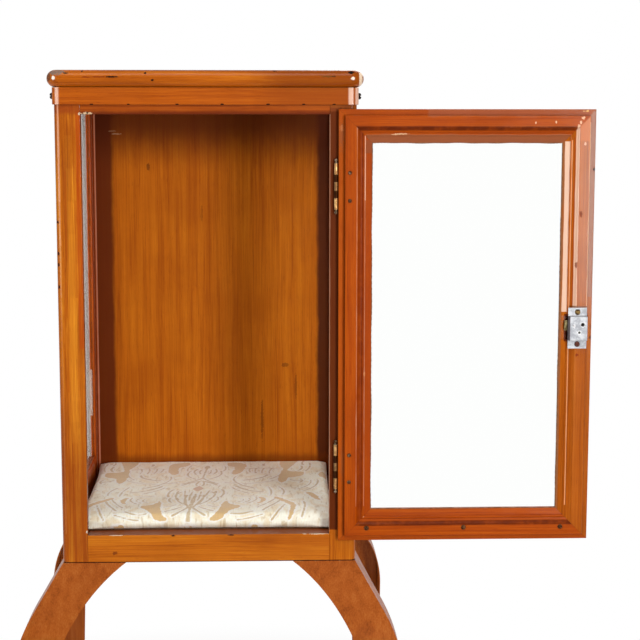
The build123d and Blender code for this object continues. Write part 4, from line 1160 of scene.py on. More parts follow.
class Assembly:
    """A sub-assembly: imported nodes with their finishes."""

    def build(self) -> None:
        """Makes what isn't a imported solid. Most sub-assemblies have nothing to make."""

    def finishes(self) -> dict[str, Finish]:
        """Finishes by the names of the nodes that wear them, with spaces between the names."""
        raise NotImplementedError

    def dress(self, frame: Mapping[str, Any]) -> None:
        """Gives every node of the sub-assembly its finish.
        """
        for names, finish in self.finishes().items():
            made = finish.build()
            for name in names.split():
                thing = frame["nodes"][name]
                if not thing.material_slots:
                    thing.data.materials.append(made)
                for place in thing.material_slots:
                    place.material = made
                LOG.info("%s wears %s", name, made.name)


@dataclass
class Carcass(Assembly):
    """The body: posts, rails, panels, side glass, cap and skirt."""

    front: float = -184.0
    cap_face: float = -193.0
    skirt_face: float = -186.4
    panel_face: float = 178.0
    black: Tone = (22, 12, 8)

    def cap_marks(self) -> tuple[Mark, ...]:
        """Scratches, chips and bare metal on the cap's rolled edge, and painted highlights at its two ends.

        Returns:
            The spots, in the order in which they are laid.
        """
        black = self.black
        y = self.cap_face
        return (
            Mark((-140, y, 1225.6), (13, 6, 0.8), (112, 34, 4), 0.5, 0.9),
            Mark((-124, y, 1225.7), (10, 6, 1.2), black, 0.4),
            Mark((-158, y, 1225.4), (5, 6, 1.2), (126, 44, 4), 0.8, 0.8),
            Mark((-163.4, y + 1, 1233.2), (2.6, 6, 1.6), black, 0.5),
            Mark((-79.6, y, 1230.7), (2.4, 6, 1.6), (40, 20, 10), 0.5),
            Mark((-70.4, y, 1221.5), (2.4, 6, 1.4), black, 0.5),
            Mark((92.8, y + 1, 1233.6), (4, 6, 1.4), black, 0.7),
            Mark((194.7, y + 1, 1232.0), (4.5, 8, 2.4), black, 0.6),
            Mark((-198, y + 5, 1231.6), (13, 14, 4.6), (128, 112, 100), 1.0, 0.85),
            Mark((-209, y + 14, 1226), (5, 16, 6.5), (84, 62, 50), 1.2, 0.75),
            Mark((-186, y + 2, 1230.4), (4, 8, 1.4), (54, 46, 30), 0.8, 0.8),
            Mark((0, y + 7, 1234.9), (190, 9, 1.0), (104, 44, 12), 0.5, 0.8),
            # Painted highlights: glints on the cap's two rounded ends.
            Mark((-201.5, y + 2, 1224.2), (2.7, 9, 3.0), (252, 242, 230), 0.4, 0.95),
            Mark((197.2, y + 2, 1224.0), (3.0, 9, 2.8), (252, 232, 216), 0.4, 0.95),
            Mark((163, y, 1226.5), (9, 6, 1.4), (104, 66, 24), 1.0, 0.7),
            Mark((171, y, 1226.5), (3, 6, 1.2), (70, 36, 16), 1.0, 0.7),
        )

    def cap_shades(self) -> tuple[Shade, ...]:
        """The cap's darker right part, and a painted highlight down its right end.

        Returns:
            The soft boxes, in the order in which they are laid.
        """
        return boxes(
            -200, -150,
            (110, 190, 1205, 1236, 60.0, (128, 52, 0), 0.68, 20.0),
            # A painted highlight down the cap's right end.
            (206.0, 209.6, 1214.5, 1231, 1.2, (250, 226, 196), 0.85, 1.5),
        )

    def skirt_marks(self) -> tuple[Mark, ...]:
        """Chips along the skirt's lower edge."""
        places = (-103.3, -38.1, 21.9, 83.4, 131.0, 172.0, -152.0)
        return tuple(Mark((x, self.skirt_face, 1189.6), (2.4, 3, 1.1), (38, 16, 6), 0.6) for x in places)

    def skirt_shades(self) -> tuple[Shade, ...]:
        """The skirt's darker right part, and painted highlights down its corners.

        Returns:
            The soft boxes, in the order in which they are laid.
        """
        # Painted highlights: pale strips down the skirt's rounded corners.
        pale = (1189, 1213, 2.6, (246, 204, 180), 0.74, 2.0)
        corners = ((-199.2, -196.8, *pale), (192.6, 196.8, *pale), (201.8, 206.0, *pale))
        right = boxes(-190, -180, (110, 190, 1189, 1213, 60.0, (144, 62, 2), 0.64, 20.0))
        return right + boxes(-190, -174, *corners)

    def latch_marks(self) -> tuple[Mark, ...]:
        """Wear down the left front post.

        Returns:
            The spots, in the order in which they are laid.
        """
        dots = ((-200.2, z, 1.8, 3.4, (70, 28, 8), 0.7) for z in (1032.0, 989.0, 974.0, 944.0))
        corner = spots(self.front, 5, (-168.6, 1177.0, 1.8, 2.2, (212, 190, 160), 0.9))
        foot = spots(self.front, 3, (-168.9, 602.7, 1.6, 2.4, (200, 182, 160), 0.6))
        return spots(-181, 4, *dots) + corner + foot

    def latch_shades(self) -> tuple[Shade, ...]:
        """The left front post's soft streaks, redder ends and inner edge, and a painted highlight down its
        rounded corner.

        Returns:
            The soft boxes, in the order in which they are laid.
        """
        streak: Tone = (166, 68, 2)
        flames = (
            (-187.0 + i, -182.0 + 2 * i, 700 + 30 * i, 1146 - 44 * i, 4.0, (230, 146, 36), 0.12, 4.0)
            for i in range(4)
        )
        streaks = (
            (-189.6, -188.6, 980, 1100, 1.6, streak, 0.4, 2.5),
            (-177.0, -176.0, 930, 1060, 1.6, streak, 0.4, 2.5),
            (-191.0, -189.8, 800, 950, 1.8, streak, 0.35, 2.5),
        )
        # Painted highlight down the post's rounded outer corner, strongest at the top.
        rubbed = (
            (-198.0, -196.8, 1060, 1189, 1.1, (244, 182, 140), 0.3, 1.6),
            (-198.0, -196.8, 1000, 1189, 1.1, (244, 182, 140), 0.25, 1.6),
            (-198.1, -197.0, 930, 1189, 1.0, (238, 176, 130), 0.2, 1.8),
            (-198.2, -197.2, 600, 960, 0.9, (210, 138, 80), 0.22, 2.4),
        )
        return (
            boxes(-190, -183, *flames, *streaks)
            + boxes(-190, -160, (-204, -160, 590, 690, 70.0, (136, 52, 4), 0.5, 16.0))
            + boxes(-190, -183, (-173.2, -167.0, 860, 1180, 2.4, (176, 62, 4), 0.55, 3.0))
            + boxes(-190, -175, (-204, -160, 1180, 1192, 7.0, (150, 62, 12), 0.8, 5.0))
            + boxes(-190, -180, *rubbed)
            + boxes(-181, -166, (-171.5, -166.0, 600, 1180, 1.5, (78, 24, 0), 0.5, 2.0))
        )

    def hinge_post_shades(self) -> tuple[Shade, ...]:
        """The right front post in the shadow of the open door, and the thin line of its inner edge.

        Returns:
            The soft boxes, in the order in which they are laid.
        """
        shadows = boxes(
            -190, -183,
            (166.2, 181.0, 604, 1184, 2.4, (88, 30, 0), 0.94, 2.0),
            (160.0, 204.0, 1182, 1192, 3.0, (136, 64, 24), 0.7, 3.0),
        )
        return shadows + boxes(-186, -160, (165.4, 166.8, 600, 1176, 0.5, (184, 136, 110), 0.75, 2.0))

    def rear_shades(self) -> tuple[Shade, ...]:
        """Putty in the rear posts' rebates, painted near white as the light seen through the side glass, and
        the white slip at the left one's foot.

        Returns:
            The soft boxes, in the order in which they are laid.
        """
        # The pale putty also stands in for the bright light through the side glass: painted light.
        putty: Tone = (250, 246, 240)
        rebates = ((-203.6, -198.6, 636, 1181, 0.4, putty), (198.6, 203.6, 636, 1181, 0.4, putty))
        slip = boxes(140, 150, (-203.6, -188.0, 702, 775, 0.5, (255, 254, 248), 1.0, 0.8))
        return boxes(145.4, 147.0, *rebates) + slip

    def head_marks(self) -> tuple[Mark, ...]:
        """The chip in the head rail's lower edge at its left end.

        Returns:
            The spots, in the order in which they are laid.
        """
        return spots(
            self.front, 5,
            (-158.5, 1177.2, 8.5, 2.0, (216, 184, 144), 1.0, 0.9),
            (-158.0, 1178.0, 1.5, 1.4, self.black, 0.6, 0.9),
            (-164.0, 1176.6, 1.2, 1.0, (70, 50, 36), 0.6, 0.8),
        )

    def sill_marks(self) -> tuple[Mark, ...]:
        """Pale chips on the sill's front edge, dark scuffs along it and a knot.

        Returns:
            The spots, in the order in which they are laid.
        """
        pale: Tone = (214, 196, 170)
        dark: Tone = (60, 24, 8)
        chips = (
            (152, 597.2, 13, 0.8, pale, 0.9),
            (132, 597.4, 3, 0.8, pale, 0.6),
            (-128, 597.4, 11, 0.7, pale, 0.9),
        )
        scuffs = ((-50, 596.4, 3.4, 1.4, dark, 0.6), (30, 596.6, 5, 1.2, dark, 0.6))
        knot = (-131, 572, 4.5, 3.0, (120, 52, 10), 0.7, 0.8)
        return spots(-183.6, 2.0, *chips) + spots(self.front, 2.2, *scuffs) + spots(self.front, 3, knot)

    def panel_marks(self) -> tuple[Mark, ...]:
        """Stains and pale specks on the back panel.

        Returns:
            The spots, in the order in which they are laid.
        """
        stain: Tone = (84, 34, 2)
        return spots(
            self.panel_face, 3,
            (-158, 1147, 7, 1.6, (150, 110, 80), 0.9, 0.55),
            (-152, 1142.5, 7, 1.3, (170, 130, 100), 0.9, 0.6),
            (-103, 1091, 3, 6, (60, 20, 2), 0.6, 0.55),
            (74, 688, 2.5, 36, stain, 0.6, 0.5),
            (111, 776, 6, 4, stain, 0.6, 0.5),
            (-20, 1018, 2.4, 14, stain, 0.6, 0.3),
            (128, 742, 2.4, 24, stain, 0.6, 0.4),
        )

    def panel_shades(self) -> tuple[Shade, ...]:
        """The back panel's darker borders, top and foot, which are painted shade with a darker grained edge,
        and the painted highlight lines down its left side.

        Returns:
            The soft boxes, in the order in which they are laid.
        """
        return boxes(
            170, 190,
            # Painted shade along the sides, the top and the foot, with a darker border in the graining.
            (-200, -163, 590, 1200, 8.0, (102, 38, 4), 0.93, 7.0),
            (166, 200, 590, 1200, 8.0, (70, 22, 0), 0.95, 9.0),
            (-200, 200, 1160, 1200, 84.0, (84, 28, 0), 0.88, 26.0),
            (-200, 200, 590, 622, 14.0, (122, 52, 8), 0.6, 16.0),
            # The red strip and the two painted highlight lines down the left side.
            (-192, -186.4, 600, 1182, 0.8, (150, 58, 4), 0.9, 1.0),
            (-191.2, -190.0, 600, 1182, 0.5, (214, 140, 108), 0.75, 0.8),
            (-187.0, -185.2, 600, 1182, 0.6, (216, 140, 108), 0.8, 1.2),
        )

    def finishes(self) -> dict[str, Finish]:
        """The body's finishes by node."""
        return self.frame_finishes() | self.sheet_finishes()

    def frame_finishes(self) -> dict[str, Finish]:
        """The paint of the posts, rails and beads.

        Returns:
            Finishes by node names, with spaces between the names.
        """
        flamed = ((132, 54, 0), (186, 96, 8), (224, 144, 34), 1.3)
        red = ((120, 40, 0), (178, 72, 4), (200, 96, 18))
        # Painted shade along the head rail's lower edge.
        under = boxes(-190, -150, (-167, 166, 1171, 1177.4, 6.0, (96, 30, 2), 0.85, 4.0))
        # Painted shade on the sill's top ledge.
        ledge = boxes(-182.6, -150, (-200, 200, 595.8, 610, 0.8, (128, 56, 10), 0.95))
        return {
            "post_front_left": GrainPaint(
                "latch post paint", Run.UP, *flamed, shades=self.latch_shades(), marks=self.latch_marks()
            ),
            "post_front_right": GrainPaint(
                "hinge post paint", Run.UP, gloss=0.1, shades=self.hinge_post_shades()
            ),
            "post_rear_left post_rear_right": GrainPaint(
                "rear post paint", Run.UP, *red, rub=0.3, corner_shade_and_grime=0.0, shades=self.rear_shades()
            ),
            # The head rail's darker colours are painted shade under the cap and skirt.
            "front_top_rail": GrainPaint(
                "head rail paint", Run.ACROSS, (112, 44, 0), (160, 70, 6), (182, 92, 20),
                shades=under, marks=self.head_marks(),
            ),
            "rear_top_rail rear_bottom_rail": GrainPaint("rail paint", Run.ACROSS),
            "front_bottom_rail": GrainPaint(
                "sill paint", Run.ACROSS, shades=ledge, marks=self.sill_marks()
            ),
            "side_top_rail_left side_top_rail_right side_bottom_rail_left side_bottom_rail_right": GrainPaint(
                "side rail paint", Run.BACK, (110, 42, 0), (170, 80, 14), (190, 104, 34)
            ),
            "side_bead_left side_bead_right": GrainPaint("bead paint", Run.UP, *red, rub=0.4),
        }

    def sheet_finishes(self) -> dict[str, Finish]:
        """The paint of the cap, skirt and panels, the side glass and the screws.

        Returns:
            Finishes by node names, with spaces between the names.
        """
        return {
            "top_cap": GrainPaint(
                "cap paint", Run.ACROSS, (142, 62, 0), (184, 92, 8), (204, 120, 22), rub=0.45,
                gloss=0.24, rough=0.38, shades=self.cap_shades(), marks=self.cap_marks(),
            ),
            "top_skirt": GrainPaint(
                "skirt paint", Run.ACROSS, (142, 58, 0), (184, 88, 8), (204, 114, 24),
                shades=self.skirt_shades(), marks=self.skirt_marks(),
            ),
            "back_panel": GrainPaint(
                "back panel paint", Run.UP, (154, 68, 0), (190, 98, 8), (208, 118, 18), rub=0.0,
                grain=1.15, gloss=0.0, rough=0.5, shades=self.panel_shades(), marks=self.panel_marks(),
            ),
            # A darker copy of the grain paint on the sheets inside and under the body: painted shade.
            "ceiling_panel floor_pan base_panel": GrainPaint(
                "inner sheet paint", Run.BACK, (64, 20, 2), (106, 42, 6), (130, 60, 14), rub=0.1
            ),
            "side_glass_left side_glass_right": ClearGlass("side glass"),
            "skirt_screws leg_bolts": WornMetal(
                "dark screws", (120, 96, 74), (44, 26, 18), 0.8, rough=0.42, metallic=0.8
            ),
        }


@dataclass
class Door(Assembly):
    """The glazed door, standing open."""

    left: float = 178.1
    right: float = 525.1
    low: float = 590.1
    high: float = 1183.5
    face: float = -185.6
    flat: float = -201.6
    lip: float = -193.4
    member: float = 44.5
    putty_near: float = 7.1
    putty_wide: float = 1.1
    putty_thick: float = 1.6
    putty_steps: int = 420

    def stile_bands(self) -> tuple[Band, ...]:
        """The hinge stile's strips of changed colour, from the door's edge inward.

        Returns:
            The strips, in the order in which they are laid.
        """
        return (
            Band(-1.0, 8.0, 0.6, (186, 88, 14), 0.5),
            # Painted shade: a dark line at the lip's step, and the darker cove.
            Band(7.7, 8.4, 0.4, (104, 30, 0), 0.5),
            Band(26.4, 33.6, 1.4, (126, 42, 0), 0.8),
            Band(36.6, 46.0, 1.0, (160, 60, 0), 0.7),
        )

    def rail_bands(self) -> tuple[Band, ...]:
        """The top and bottom rails' strips: only the cove is darker, as painted shade.

        Returns:
            The strips, in the order in which they are laid.
        """
        return (
            Band(-1.0, 8.0, 0.6, (158, 68, 8), 0.35),
            # Painted shade in the cove.
            Band(23.4, 27.6, 1.8, (88, 28, 0), 0.85),
        )

    def lock_bands(self) -> tuple[Band, ...]:
        """The lock stile's strips: the paint is worn even, with a darker line at the glass."""
        return (Band(42.6, 46.0, 0.6, (134, 92, 62), 0.8),)

    def top_marks(self) -> tuple[Mark, ...]:
        """Scuffs on the top rail's moulding, chips near its right mitre, and a painted highlight along that
        mitre.

        Returns:
            The spots, in the order in which they are laid.
        """
        chip: Tone = (226, 190, 150)
        pale: Tone = (244, 206, 172)
        # The pale rows are a painted highlight near the right mitre; the dark row is a chip.
        moulding = (
            (506.2, 1172.0, 3.0, 2.4, pale, 1.0, 0.8),
            (503.0, 1166.4, 1.7, 3.6, pale, 1.0, 0.8),
            (500.2, 1160.6, 2.2, 3.4, pale, 1.0, 0.7),
            (493.6, 1143.0, 4.6, 1.2, pale, 0.8, 0.8),
            (491.4, 1142.6, 1.2, 1.0, (30, 14, 8), 0.5, 0.9),
        )
        scuffs = ((262, 1150.6, 8, 1.1, chip, 1.0, 0.8), (253, 1149.8, 5, 0.9, chip, 1.0, 0.6))
        flecks = ((441.9, 1165.6, 0.9, 1.7, chip, 0.4), (469.4, 1166.2, 1.2, 2.0, chip, 0.4))
        edge = (
            (513.0, 1181.4, 2.2, 1.6, (240, 190, 120), 0.8, 0.9),
            (508.6, 1181.0, 4, 0.9, (226, 176, 120), 0.8, 0.7),
        )
        near = spots(-199, 8, *moulding) + spots(-199, 7, *scuffs)
        return near + spots(self.flat, 3, *flecks) + spots(-197, 8, *edge)

    def top_shades(self) -> tuple[Shade, ...]:
        """The grey-brown scuffing along the top rail's inner moulding and outer edge.

        Returns:
            The soft boxes, in the order in which they are laid.
        """
        return boxes(
            -210, -180,
            (216, 488, 1139, 1149.0, 2.0, (146, 88, 58), 0.75, 4.0),
            (300, 530, 1176, 1184, 4.0, (160, 92, 62), 0.5, 8.0),
        )

    def bottom_marks(self) -> tuple[Mark, ...]:
        """A pale chip where the bottom rail meets the hinge stile."""
        return spots(-200, 6, (212, 625, 2.4, 1.4, (226, 176, 130), 0.6, 0.8))

    def lock_marks(self) -> tuple[Mark, ...]:
        """Knots and spots down the lock stile, on its flat and on its lip.

        Returns:
            The spots, in the order in which they are laid.
        """
        knot: Tone = (120, 46, 14)
        flat = (
            (505.6, 1043, 2.2, 5, knot, 0.5, 0.8),
            (500.4, 974, 2.2, 5, knot, 0.5, 0.8),
            (509.4, 1137.6, 1.6, 2.2, (244, 200, 170), 0.6, 0.8),
            (504.0, 850, 2.4, 2.6, (126, 36, 4), 0.8, 0.8),
        )
        lip = (
            (524.0, 889, 2.0, 3.4, (128, 66, 34), 0.8, 0.7),
            (523.6, 873, 2.0, 3.0, (66, 26, 12), 0.8, 0.7),
        )
        spot = (523.5, 1103, 1.8, 2.6, (40, 12, 6), 0.5)
        return spots(self.flat, 4, *flat) + spots(self.lip, 6, *lip) + spots(self.lip, 4, spot)

    def lock_shades(self) -> tuple[Shade, ...]:
        """The lock stile's inner moulding with painted highlights and a painted shade line, its lip and top,
        and painted shade in the recess round the lock and above its plate.

        Returns:
            The soft boxes, in the order in which they are laid.
        """
        return boxes(
            -210, -180,
            # Painted highlights on the moulding's pale band and thin lines, with a painted shade line in its
            # cove.
            (483.8, 489.2, 910, 1140, 0.8, (246, 212, 188), 0.75, 2.0),
            (492.0, 493.2, 640, 1142, 0.5, (246, 176, 124), 0.7, 1.6),
            (495.6, 496.9, 915, 1146, 0.5, (150, 62, 14), 0.6, 1.6),
            (497.9, 501.6, 915, 1158, 0.7, (238, 200, 174), 0.7, 2.0),
            (515.8, 517.0, 915, 1166, 0.5, (240, 194, 160), 0.75, 1.6),
            (517.6, 530, 930, 1190, 1.5, (150, 96, 74), 0.7, 3.0),
            (504, 514, 1142, 1176, 3.0, (196, 100, 30), 0.7, 8.0),
            # Painted shade in the recess round the lock, and a painted shadow line above its plate.
            (487.4, 519.0, 869, 906, 0.9, (86, 22, 0), 0.92, 1.0),
            (493.0, 518.0, 916, 917.6, 0.5, (104, 56, 22), 0.75, 1.0),
        )

    def hinge_marks(self) -> tuple[Mark, ...]:
        """Scuffs down the hinge stile's lip, and one on its moulding.

        Returns:
            The spots, in the order in which they are laid.
        """
        scuffs = (
            (182, 1150, 4.2, 20, (140, 78, 44), 1.2, 0.6),
            (181.5, 1158, 2.6, 4, (196, 122, 74), 1.2, 0.6),
            (184, 700, 3.0, 30, (150, 84, 44), 1.0, 0.4),
        )
        return spots(self.lip, 4, *scuffs) + spots(-198, 6, (213.6, 825, 1.2, 4, (216, 150, 100), 0.6, 0.7))

    def hinge_shades(self) -> tuple[Shade, ...]:
        """Thin painted highlight lines along the hinge stile's mouldings, and its scuffed top.

        Returns:
            The soft boxes, in the order in which they are laid.
        """
        line: Tone = (224, 160, 128)
        return boxes(
            -210, -180,
            # Painted highlights along the edges of the mouldings.
            (202.3, 202.7, 640, 1160, 0.5, line, 0.5, 2.0),
            (213.2, 213.9, 1062, 1150, 0.5, (246, 196, 166), 0.9, 0.4),
            (213.2, 213.7, 640, 1062, 0.5, line, 0.4, 2.4),
            (215, 223, 1126, 1142, 2.0, (136, 74, 44), 0.7, 4.0),
        )

    def putty_surface(self) -> np.ndarray:
        """The putty's section carried round the pane.

        At a step t round the rectangle, the section is a flat bead whose inner edge moves in
        and out with a sum of sines of t, so the sight edge looks cut by hand. A point inset by
        d lies on the rectangle shrunk by d.

        Returns:
            Steps by section points by three, in metres.
        """
        steps = self.putty_steps
        sides = np.repeat(np.arange(4), steps)
        run = np.tile(np.linspace(0.0, 1.0, steps, endpoint=False), 4)
        phase = 2 * np.pi * (sides + run)
        wave = sum(
            size * np.sin(rate * phase + shift)
            for size, rate, shift in ((0.5, 3, 0.3), (0.35, 7.25, 1.9), (0.2, 61.5, 4.1), (0.2, 143.25, 2.2))
        )
        inner = np.clip(self.putty_wide + 0.6 * wave, 0.3, 2.2)
        back = self.face - self.putty_near
        front = back - self.putty_thick
        section = ((0.0, back), (0.0, front), (0.35, front - 0.15), (0.8, front + 0.5), (1.0, back))
        sight = self.member - 0.05
        rows = []
        for share, y in section:
            inset = sight + share * inner
            left, right = self.left + inset, self.right - inset
            low, high = self.low + inset, self.high - inset
            x = np.choose(sides, (left + run * (right - left), right, right - run * (right - left), left))
            z = np.choose(sides, (low, low + run * (high - low), high, high - run * (high - low)))
            rows.append(np.stack([x, np.full_like(x, y), z], axis=-1))
        return np.stack(rows, axis=1) * MM

    def build(self) -> None:
        """Makes the hand-run putty round the pane."""
        putty = grid_mesh("putty_bead", self.putty_surface(), closed_u=True, closed_v=True)
        smooth(putty)
        old = PlainMatter("old putty", (150, 100, 62), (110, 64, 32), 160.0, 0.75, 0.0008)
        putty.data.materials.append(old.build())
        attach(putty, "door")
        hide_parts("door_putty")
        LOG.info("putty bead built")

    def finishes(self) -> dict[str, Finish]:
        """The door's finishes by node.

        Returns:
            Finishes by node names, with spaces between the names.
        """
        red = {"dark": (132, 46, 0), "base": (170, 70, 0), "pale": (188, 90, 8), "rub": 0.4, "corner_shade_and_grime": 0.35}
        worn = red | {"dark": (136, 60, 0), "base": (172, 84, 2), "pale": (196, 110, 28)}
        return {
            "door_hinge_stile": DoorPaint(
                "door hinge stile paint", Run.UP, **red, gloss=0.0,
                marks=self.hinge_marks(), shades=self.hinge_shades(), bands=self.stile_bands(),
            ),
            "door_lock_stile": DoorPaint(
                "door lock stile paint", Run.UP, **worn, gloss=0.22,
                marks=self.lock_marks(), shades=self.lock_shades(), bands=self.lock_bands(),
            ),
            "door_top_rail": DoorPaint(
                "door top rail paint", Run.ACROSS, **red, gloss=0.05,
                marks=self.top_marks(), shades=self.top_shades(), bands=self.rail_bands(),
            ),
            "door_bottom_rail": DoorPaint(
                "door bottom rail paint", Run.ACROSS, **red, gloss=0.03,
                marks=self.bottom_marks(), bands=self.rail_bands(),
            ),
            "door_glass": ClearGlass("door glass"),
            "door_rail_screws": WornMetal(
                "rail screws", (150, 104, 64), (60, 30, 16), 0.6, rough=0.4, metallic=0.85
            ),
        }


@dataclass
class Hinges(Assembly):
    """Two brass butt hinges with ball-tipped loose pins."""

    bright: Tone = (255, 208, 140)
    film: Tone = (198, 146, 90)
    centres: tuple[float, float] = (693.6, 1080.0)

    def dull(self) -> tuple[Shade, ...]:
        """The middle of each hinge, where the brass has gone dark."""
        middles = ((160, 195, z - 12, z + 12, 1.2, (140, 104, 70), 0.7) for z in self.centres)
        return boxes(-215, -160, *middles)

    def finishes(self) -> dict[str, Finish]:
        """The hinges' finishes by node.

        Returns:
            Finishes by node names, with spaces between the names.
        """
        return {
            "hinge_leaf_fixed_lower hinge_leaf_fixed_upper": WornMetal(
                "hinge brass", self.bright, self.film, 0.55, 120.0, 0.38, shades=self.dull()
            ),
            "hinge_pin_lower hinge_pin_upper": WornMetal(
                "ball tips", (176, 156, 132), (104, 78, 52), 0.5, 120.0, 0.4
            ),
            "hinge_leaf_door_lower hinge_leaf_door_upper hinge_leaf_screws": WornMetal(
                "tarnished brass", (150, 96, 54), (74, 40, 20), 0.85, 120.0, 0.42
            ),
            "hinge_rivets": WornMetal("rivet heads", (150, 124, 100), (92, 60, 40), 0.7, rough=0.42),
        }


@dataclass
class Lock(Assembly):
    """The surface lock on the door's inner face."""

    plating: Tone = (206, 209, 214)
    dull: Tone = (172, 175, 182)

    def case_shade_and_joints(self) -> tuple[Shade, ...]:
        """Painted shade on the left side of the raised case, and the joints above and below it.

        Returns:
            The soft boxes, in the order in which they are laid.
        """
        joints = (
            (488, 520, 903.4, 904.4, 0.4, (96, 84, 84), 0.6),
            (488, 520, 870.4, 871.6, 0.4, (120, 124, 136), 0.6),
        )
        # Painted shade on the raised case's left side.
        side = boxes(-212, -180, (488, 492.6, 871, 904, 0.6, (118, 104, 108), 0.85))
        return side + boxes(-205, -180, *joints)

    def marks(self) -> tuple[Mark, ...]:
        """The case's two holes, painted black as painted shade inside them, and its boss, with their worn
        rims and a painted shade crescent on the boss, and dirt round the screws.

        Returns:
            The spots, in the order in which they are laid.
        """
        worn: Tone = (244, 244, 246)
        black: Tone = (10, 8, 8)
        # The second row is a painted shade crescent on the boss.
        rims = (
            (498.2, 891.6, 2.6, 3.0, worn, 0.8, 0.7),
            (496.9, 892.2, 1.1, 1.7, (132, 128, 130), 0.6, 0.7),
            (505.5, 882.3, 3.0, 3.0, worn, 0.6, 0.9),
            (509.9, 893.1, 4.0, 4.0, worn, 0.6, 0.7),
        )
        darkening = (
            (503.8, 909.9, 4.3, 4.3, (58, 44, 24), 0.3, 0.9),
            (503.8, 865.9, 4.1, 4.1, (60, 26, 26), 0.3, 0.9),
        )
        # Both holes painted black: painted shade inside them.
        hole = spots(-200, 60, (505.5, 882.3, 2.0, 2.0, black, 0.1))
        boss = spots(-208, 12, (509.9, 893.1, 3.1, 3.1, black, 0.1))
        return spots(-210, 6, *rims) + hole + boss + spots(-203, 4, *darkening)

    def finishes(self) -> dict[str, Finish]:
        """The lock's finishes by node.

        Returns:
            Finishes by node names, with spaces between the names.
        """
        foot = boxes(-215, -180, (480, 530, 855, 875, 1.0, (96, 50, 48), 0.85))
        return {
            "lock_case": WornMetal(
                "zinc plating", self.plating, self.dull, 0.45, 55.0, 0.5, 0.2, brushed=0.4,
                shades=self.case_shade_and_joints(), marks=self.marks(),
            ),
            "lock_bolt": WornMetal("bolt brass", (132, 120, 86), (96, 82, 54), 0.5, rough=0.45),
            "lock_plug": WornMetal("key plug", (40, 30, 24), (14, 10, 8), 0.7, rough=0.5, metallic=0.5),
            "lock_escutcheon": WornMetal("escutcheon brass", (196, 150, 92), (116, 82, 46), 0.5, rough=0.32),
            "lock_screws": WornMetal(
                "lock screws", (150, 124, 76), (84, 62, 36), 0.6, rough=0.42, metallic=0.9, shades=foot
            ),
        }


